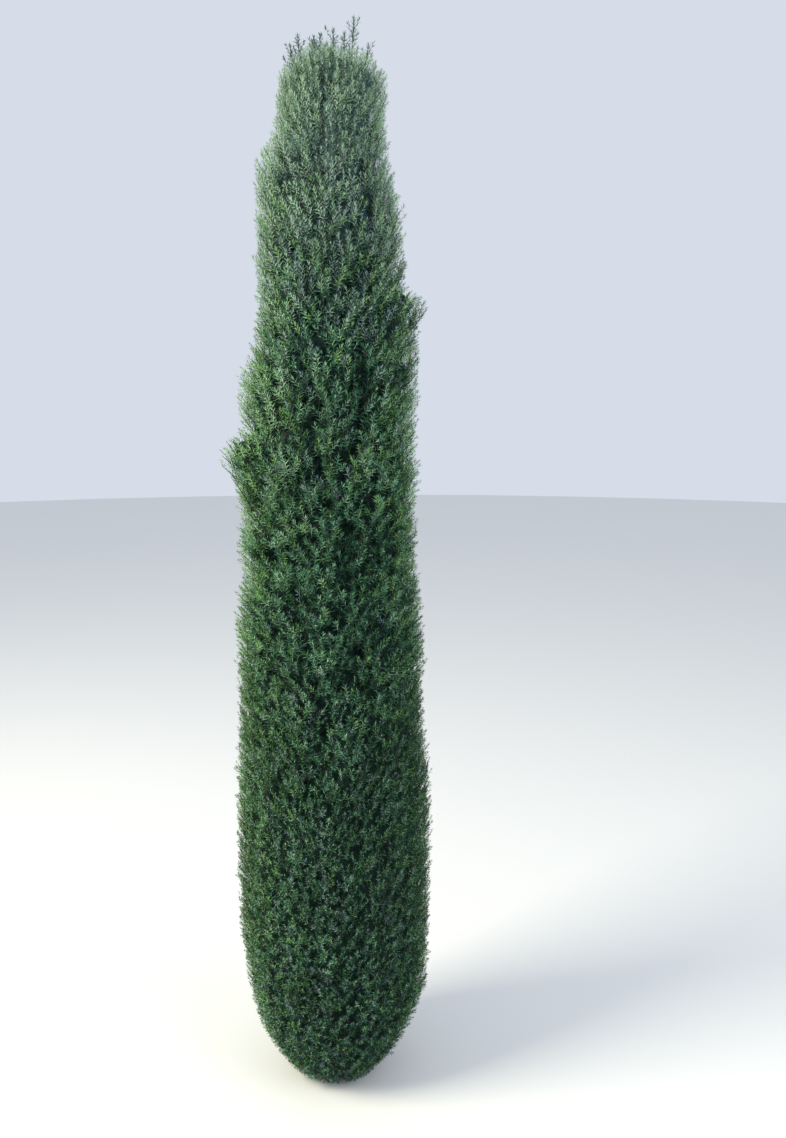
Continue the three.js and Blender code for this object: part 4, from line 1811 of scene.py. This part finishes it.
class NodeTree:
    """A small helper that adds shader nodes to a tree and joins them.

    A mix node has like-named sockets for each kind of value, so those for colours go by number.
    """

    mix_share = 0
    mix_first = 6
    mix_second = 7
    mix_result = 2

    def __init__(self, tree: bpy.types.NodeTree) -> None:
        """Keeps the tree that nodes are added to."""
        self.tree = tree

    def feed(self, node: bpy.types.Node, entries: Entries) -> None:
        """Fills a node's inputs: a socket is joined to its input, and any other value is set on it.

        Args:
            node: The node.
            entries: What each input gets, by the input's name or number.
        """
        for name, value in entries.items():
            if isinstance(value, Socket):
                self.tree.links.new(value, node.inputs[name])
            else:
                node.inputs[name].default_value = value

    def add(self, kind: str, entries: Entries | None = None, **settings: object) -> bpy.types.Node:
        """Adds a node.

        Args:
            kind: The node's type.
            entries: What each of its inputs gets.
            **settings: Its properties.

        Returns:
            The node.
        """
        node = self.tree.nodes.new(kind)
        for name, value in settings.items():
            setattr(node, name, value)
        self.feed(node, entries or {})
        return node

    def place(self) -> Socket:
        """Adds the place on the surface, in the plant's frame."""
        return self.add("ShaderNodeTexCoord").outputs["Object"]

    def scaled(self, where: Socket, scale: Socket) -> Socket:
        """Scales coordinates."""
        entries = {"Vector": where, "Scale": scale}
        return self.add("ShaderNodeVectorMath", entries, operation="SCALE").outputs["Vector"]

    def noise(self, where: Socket, noise: Noise) -> Socket:
        """Adds a noise, from 0 to 1."""
        return self.add("ShaderNodeTexNoise", {"Vector": where} | noise.entries).outputs["Fac"]

    def worked(self, operation: str, first: Socket, second: Socket) -> Socket:
        """Works out one value from two."""
        return self.add("ShaderNodeMath", {0: first, 1: second}, operation=operation).outputs[0]

    def mapped(self, value: Socket, span: Span) -> Socket:
        """Maps a value from one range to another, and keeps it inside that one."""
        return self.add("ShaderNodeMapRange", {"Value": value} | span.entries, clamp=True).outputs["Result"]

    def mixed(self, share: Socket, first: Socket, second: Socket) -> Socket:
        """Mixes two colours by the share of the second."""
        entries = {self.mix_share: share, self.mix_first: first, self.mix_second: second}
        return self.add("ShaderNodeMix", entries, data_type="RGBA").outputs[self.mix_result]


def new_group(name: str, entries: dict[str, str], exits: dict[str, str]) -> bpy.types.NodeTree:
    """Makes an empty shader node group.

    Args:
        name: The group's name.
        entries: The kind of each input, Color or Float, by its name.
        exits: The same for the outputs.

    Returns:
        The group.
    """
    group = bpy.data.node_groups.new(name, "ShaderNodeTree")
    for side, sockets in (("INPUT", entries), ("OUTPUT", exits)):
        for socket, kind in sockets.items():
            group.interface.new_socket(name=socket, in_out=side, socket_type=f"NodeSocket{kind}")
    return group


def new_material(name: str, specular: float) -> tuple[Material, NodeTree, bpy.types.Node]:
    """Makes a plain material.

    Args:
        name: Its name.
        specular: How strongly it mirrors.

    Returns:
        The material, its nodes and its shader.
    """
    material = bpy.data.materials.new(name)
    material.use_nodes = True
    shader = material.node_tree.nodes["Principled BSDF"]
    shader.inputs["Specular IOR Level"].default_value = specular
    return material, NodeTree(material.node_tree), shader


class NeedleTone:
    """A node group that varies the colour and the roughness of needles from spray to spray."""

    name = "needle tone"
    spray = Noise(1.0, 2.0, 0.6)
    cloud = Noise(0.2, 1.0, 0.5)
    share = Span(0.75, 1.3)
    roughness = Span(0.3, 0.7, 0.46, 0.62)

    def __init__(self) -> None:
        """Builds the group."""
        entries = {"Tint": "Color", "Shade": "Color", "Variation": "Float", "Scale": "Float"}
        self.group = new_group(self.name, entries, {"Color": "Color", "Roughness": "Float"})
        nodes = NodeTree(self.group)
        entry = nodes.add("NodeGroupInput").outputs
        leaving = nodes.add("NodeGroupOutput")
        where = nodes.scaled(nodes.place(), entry["Scale"])
        spray = nodes.noise(where, self.spray)
        cloud = nodes.noise(where, self.cloud)
        share = nodes.mapped(nodes.worked("ADD", spray, cloud), self.share)
        varied = nodes.worked("MULTIPLY", share, entry["Variation"])
        colour = nodes.mixed(varied, entry["Tint"], entry["Shade"])
        nodes.feed(leaving, {"Color": colour, "Roughness": nodes.mapped(spray, self.roughness)})


class BarkFibre:
    """A node group with the long fibres of juniper bark: a colour, a roughness and a height."""

    name = "bark fibre"
    stretch = (1.0, 1.0, 0.11)
    fibre = Noise(1.0, 6.0, 0.65)
    share = Span(0.36, 0.62)
    roughness = Span(0.3, 0.7, 0.95, 0.78)

    def __init__(self) -> None:
        """Builds the group."""
        entries = {"Strip": "Color", "Furrow": "Color", "Scale": "Float"}
        exits = {"Color": "Color", "Roughness": "Float", "Height": "Float"}
        self.group = new_group(self.name, entries, exits)
        nodes = NodeTree(self.group)
        entry = nodes.add("NodeGroupInput").outputs
        leaving = nodes.add("NodeGroupOutput")
        long = nodes.add("ShaderNodeMapping", {"Vector": nodes.place(), "Scale": self.stretch})
        fibre = nodes.noise(nodes.scaled(long.outputs["Vector"], entry["Scale"]), self.fibre)
        colour = nodes.mixed(nodes.mapped(fibre, self.share), entry["Furrow"], entry["Strip"])
        roughness = nodes.mapped(fibre, self.roughness)
        nodes.feed(leaving, {"Color": colour, "Roughness": roughness, "Height": fibre})


@dataclass(frozen=True)
class NeedleFinish:
    """The finish of needles of one colour."""

    name: str
    tint: Colour
    shade: Colour
    variation: float = 0.75
    specular: float = 0.22
    scale: float = 34.0

    def made(self, tone: NeedleTone) -> Material:
        """Builds the material.

        Args:
            tone: The node group that varies the colour.

        Returns:
            The material.
        """
        material, nodes, shader = new_material(self.name, self.specular)
        entries = {
            "Tint": linear_colour(self.tint),
            "Shade": linear_colour(self.shade),
            "Variation": self.variation,
            "Scale": self.scale,
        }
        toned = nodes.add("ShaderNodeGroup", entries, node_tree=tone.group).outputs
        nodes.feed(shader, {"Base Color": toned["Color"], "Roughness": toned["Roughness"]})
        return material


@dataclass(frozen=True)
class BarkFinish:
    """The finish of bark on limbs of one thickness."""

    name: str
    strip: Colour
    furrow: Colour
    scale: float
    relief: float
    bump: float = 0.8
    specular: float = 0.2

    def made(self, fibre: BarkFibre) -> Material:
        """Builds the material.

        Args:
            fibre: The node group with the bark's fibres.

        Returns:
            The material.
        """
        material, nodes, shader = new_material(self.name, self.specular)
        entries = {
            "Strip": linear_colour(self.strip),
            "Furrow": linear_colour(self.furrow),
            "Scale": self.scale,
        }
        bark = nodes.add("ShaderNodeGroup", entries, node_tree=fibre.group).outputs
        relief = {"Strength": self.bump, "Distance": self.relief, "Height": bark["Height"]}
        normal = nodes.add("ShaderNodeBump", relief).outputs["Normal"]
        nodes.feed(shader, {"Base Color": bark["Color"], "Roughness": bark["Roughness"], "Normal": normal})
        return material


@dataclass
class Juniper:
    """The whole plant: trunk, boughs, twigs, shoots and needles."""

    trunk: Trunk = field(default_factory=Trunk)
    bark: BarkFinish = BarkFinish("juniper bark", (118, 92, 74), (52, 38, 30), scale=260.0, relief=0.0016)
    twig_bark: BarkFinish = BarkFinish("twig bark", (66, 66, 48), (36, 36, 26), scale=420.0, relief=0.0004)
    green: NeedleFinish = NeedleFinish("green shoot", tint=(56, 88, 58), shade=(48, 68, 46))
    crown: Crown = field(init=False)
    masses: list[Mass] = field(init=False)
    top: Top = field(init=False)
    skeleton: Skeleton = field(init=False)

    def __post_init__(self) -> None:
        """Sets up the crown, its masses and their limbs."""
        self.crown = Crown(self.trunk)
        sides, tiers = range(self.crown.sides), range(self.crown.tiers)
        self.masses = [Mass(self.crown, side, tier) for tier in tiers for side in sides]
        self.top = Top(self.crown)
        self.skeleton = Skeleton(self.crown, self.masses, self.top)

    @property
    def top_tier(self) -> int:
        """The number that stands for the top, above the last tier."""
        return self.crown.tiers

    def tier_name(self, tier: int) -> str:
        """Names a tier or the top."""
        return "top" if tier == self.top_tier else f"tier{tier + 1}"

    def tier_masses(self, tier: int) -> list[int]:
        """Lists the numbers of a tier's masses, or of the top, which comes last."""
        first = tier * self.crown.sides
        return list(range(first, min(first + self.crown.sides, len(self.masses) + 1)))

    def dress_wood(self, bark: Material) -> None:
        """Makes the trunk and the boughs.

        Args:
            bark: The bark's finish.
        """
        trunk = self.trunk.surface().turned_into("trunk_bark", bark, "bark")
        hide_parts("trunk")
        for tier in range(self.crown.tiers):
            masses = [self.masses[number] for number in self.tier_masses(tier)]
            surface = joined([mass.bough_surface() for mass in masses])
            boughs = surface.turned_into(f"boughs_{self.tier_name(tier)}", bark, "bark")
            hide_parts(*(f"bough_tier{mass.tier + 1}_side{mass.side + 1}" for mass in masses))

    def dress_twigs(self, growth: Growth, patches: Patches, bark: Material) -> None:
        """Makes the stems, twigs and branches inside the foliage, one piece for each tier.

        Args:
            growth: The growth that the branches belong to.
            patches: The patches of shoots, with their branches.
            bark: The twigs' finish.
        """
        for tier in range(self.top_tier + 1):
            numbers = self.tier_masses(tier)
            own = patches.branches.picked(np.flatnonzero(np.isin(patches.masses, numbers)))
            parts = [self.skeleton.surface(numbers), growth.branch_limb.around(own)]
            names = [f"foliage_tier{tier + 1}_side{side + 1}" for side in range(self.crown.sides)]
            if tier == self.top_tier:
                parts.append(self.top.leader_limb.around(self.top.leader_curves()))
                names = ["foliage_top"]
            twigs = joined(parts).turned_into(f"twigs_{self.tier_name(tier)}", bark, "foliage")
            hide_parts(*names)

    def dress_shoots(self, shoots: Shoots, limb: Taper, green: Material) -> None:
        """Makes the slim green stems of the shoots, one piece for each tier.

        Args:
            shoots: The shoots.
            limb: The taper of their stems.
            green: The stems' finish.
        """
        for tier in range(self.top_tier + 1):
            rows = np.flatnonzero(np.isin(shoots.mass, self.tier_masses(tier)))
            stems = limb.around(shoots.curves.picked(rows), pointed=True)
            stems.turned_into(f"shoots_{self.tier_name(tier)}", green, "foliage")

    def dress_needles(self, shoots: Shoots, finishes: dict[NeedleTint, Material]) -> None:
        """Makes the needles, one piece for each tier and tint.

        Args:
            shoots: The shoots that bear them.
            finishes: The finish of each tint.
        """
        points, tints, masses = Needles(shoots).grown()
        for tier in range(self.top_tier + 1):
            in_tier = np.isin(masses, self.tier_masses(tier))
            for tint, finish in finishes.items():
                own = points[in_tier & (tints == tint.number)]
                if len(own):
                    name = f"needles_{tint.name.lower()}_{self.tier_name(tier)}"
                    Needles.surface(own).turned_into(name, finish, "foliage")

    def dress_inside(self, tone: NeedleTone, finishes: dict[NeedleTint, Material]) -> None:
        """Makes the inner growth, coloured with painted shade, and the old needles on it, one piece of each
        for each layer.

        Args:
            tone: The node group that varies the colours.
            finishes: The finish of each tint of needles.
        """
        thicket = Thicket(self.crown)
        for layer, surface, needles in zip(thicket.layers, thicket.surfaces(), thicket.old_needles()):
            surface.turned_into(f"painted_shade_inner_growth_{layer.name}", layer.finish.made(tone), "foliage")
            needles.turned_into(f"inner_needles_{layer.name}", finishes[layer.needles], "foliage")

    def dress(self) -> None:
        """Makes every piece of the plant, with its finish."""
        tone, fibre = NeedleTone(), BarkFibre()
        bark, twig_bark, green = self.bark.made(fibre), self.twig_bark.made(fibre), self.green.made(tone)
        finishes = {
            tint: NeedleFinish(f"needles {tint.name.lower()}", tint.value, tint.shade).made(tone)
            for tint in NeedleTint
        }
        self.dress_wood(bark)
        growth = Growth(self.crown, self.skeleton)
        patches = growth.patches()
        leaders = Leaders(self.top.leader_curves(), self.tier_masses(self.top_tier)[0], growth.random)
        shoots = Shoots.gathered([growth.shoots(patches), leaders.grown()])
        log.info("%d shoots on %d branches", len(shoots.tone), len(patches))
        self.dress_twigs(growth, patches, twig_bark)
        self.dress_shoots(shoots, growth.stem_limb, green)
        self.dress_needles(shoots, finishes)
        self.dress_inside(tone, finishes)


@dataclass(frozen=True)
class Lamp:
    """A soft square light, with its width and its power in watts, that shines at the plant's middle."""

    name: str
    place: Place
    size: float
    power: float
    colour: tuple[float, float, float]
    target: Place = (0, 0, 1.2)

    def hang(self) -> None:
        """Hangs the light."""
        light = bpy.data.lights.new(self.name, "AREA")
        light.size = self.size
        light.energy = self.power
        light.color = self.colour
        lamp = placed(self.name, light)
        lamp.location = self.place
        aim = Vector(self.target) - Vector(self.place)
        lamp.rotation_euler = aim.to_track_quat("-Z", "Y").to_euler()


@dataclass
class Studio:
    """A plain pale floor, soft lights and the camera."""

    floor_radius: float = 14.0
    floor_sides: int = 64
    floor_colour: tuple[float, ...] = (0.78, 0.78, 0.77, 1.0)
    floor_specular: float = 0.15
    floor_noise: Noise = Noise(3.0, 2.0, 0.5)
    floor_roughness: Span = Span(0.3, 0.7, 0.75, 0.9)
    sky_colour: tuple[float, ...] = (0.79, 0.85, 0.95, 1.0)
    sky_strength: float = 0.85
    lamps: tuple[Lamp, ...] = (
        Lamp("key light", (-3.2, -1.5, 3.8), 2.0, 270.0, (1.0, 0.95, 0.74)),
        Lamp("fill light", (2.8, -2.0, 2.6), 2.6, 55.0, (0.92, 0.97, 1.0)),
    )
    camera_place: Place = (0.135, -2.38, 1.6)
    camera_pitch: float = math.radians(-9.5)
    frame_pixels: tuple[int, int] = (786, 1138)
    focal_pixels: float = 1085.0
    sensor: float = 36.0

    def floor(self) -> None:
        """Lays the floor."""
        azimuth = np.arange(self.floor_sides) / self.floor_sides * FULL_TURN
        points = [tuple(point) for point in polar(self.floor_radius, azimuth, 0.0)]
        mesh = bpy.data.meshes.new("floor")
        mesh.from_pydata(points, [], [tuple(range(self.floor_sides))])
        material, nodes, shader = new_material("pale floor", self.floor_specular)
        rough = nodes.mapped(nodes.noise(nodes.place(), self.floor_noise), self.floor_roughness)
        nodes.feed(shader, {"Base Color": self.floor_colour, "Roughness": rough})
        mesh.materials.append(material)
        floor = placed("floor", mesh)
        floor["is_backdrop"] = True

    def sky(self) -> None:
        """Sets the even pale light from all round."""
        world = bpy.data.worlds.new("pale studio")
        world.use_nodes = True
        nodes = NodeTree(world.node_tree)
        backdrop = world.node_tree.nodes["Background"]
        nodes.feed(backdrop, {"Color": self.sky_colour, "Strength": self.sky_strength})
        bpy.context.scene.world = world

    def camera(self) -> None:
        """Sets the camera at the photograph's viewing angle."""
        data = bpy.data.cameras.new("camera")
        data.sensor_width = self.sensor
        data.sensor_fit = "AUTO"
        data.lens = self.focal_pixels / max(self.frame_pixels) * self.sensor
        camera = placed("camera", data)
        camera.location = self.camera_place
        camera.rotation_euler = (math.pi / 2 + self.camera_pitch, 0, 0)
        bpy.context.scene.camera = camera

    def set_up(self) -> None:
        """Builds the floor, the lights and the camera."""
        self.floor()
        self.sky()
        for lamp in self.lamps:
            lamp.hang()
        self.camera()
        bpy.context.scene.view_settings.view_transform = "Standard"


def write_sizes(packed: tuple[Vector, Vector], dressed: tuple[Vector, Vector]) -> None:
    """Args:
        packed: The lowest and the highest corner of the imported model.
        dressed: The same for the dressed model.
    """
    boxes = {"cad": [list(corner) for corner in packed], "visual": [list(corner) for corner in dressed]}
    log.info("packed %s, dressed %s", boxes["cad"], boxes["visual"])


def main() -> None:
    """Builds the plant and the studio."""
    logging.basicConfig(level=logging.INFO, format="%(name)s: %(message)s")
    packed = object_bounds()
    Juniper().dress()
    Studio().set_up()
    write_sizes(packed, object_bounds())


if __name__ == "__main__":
    main()
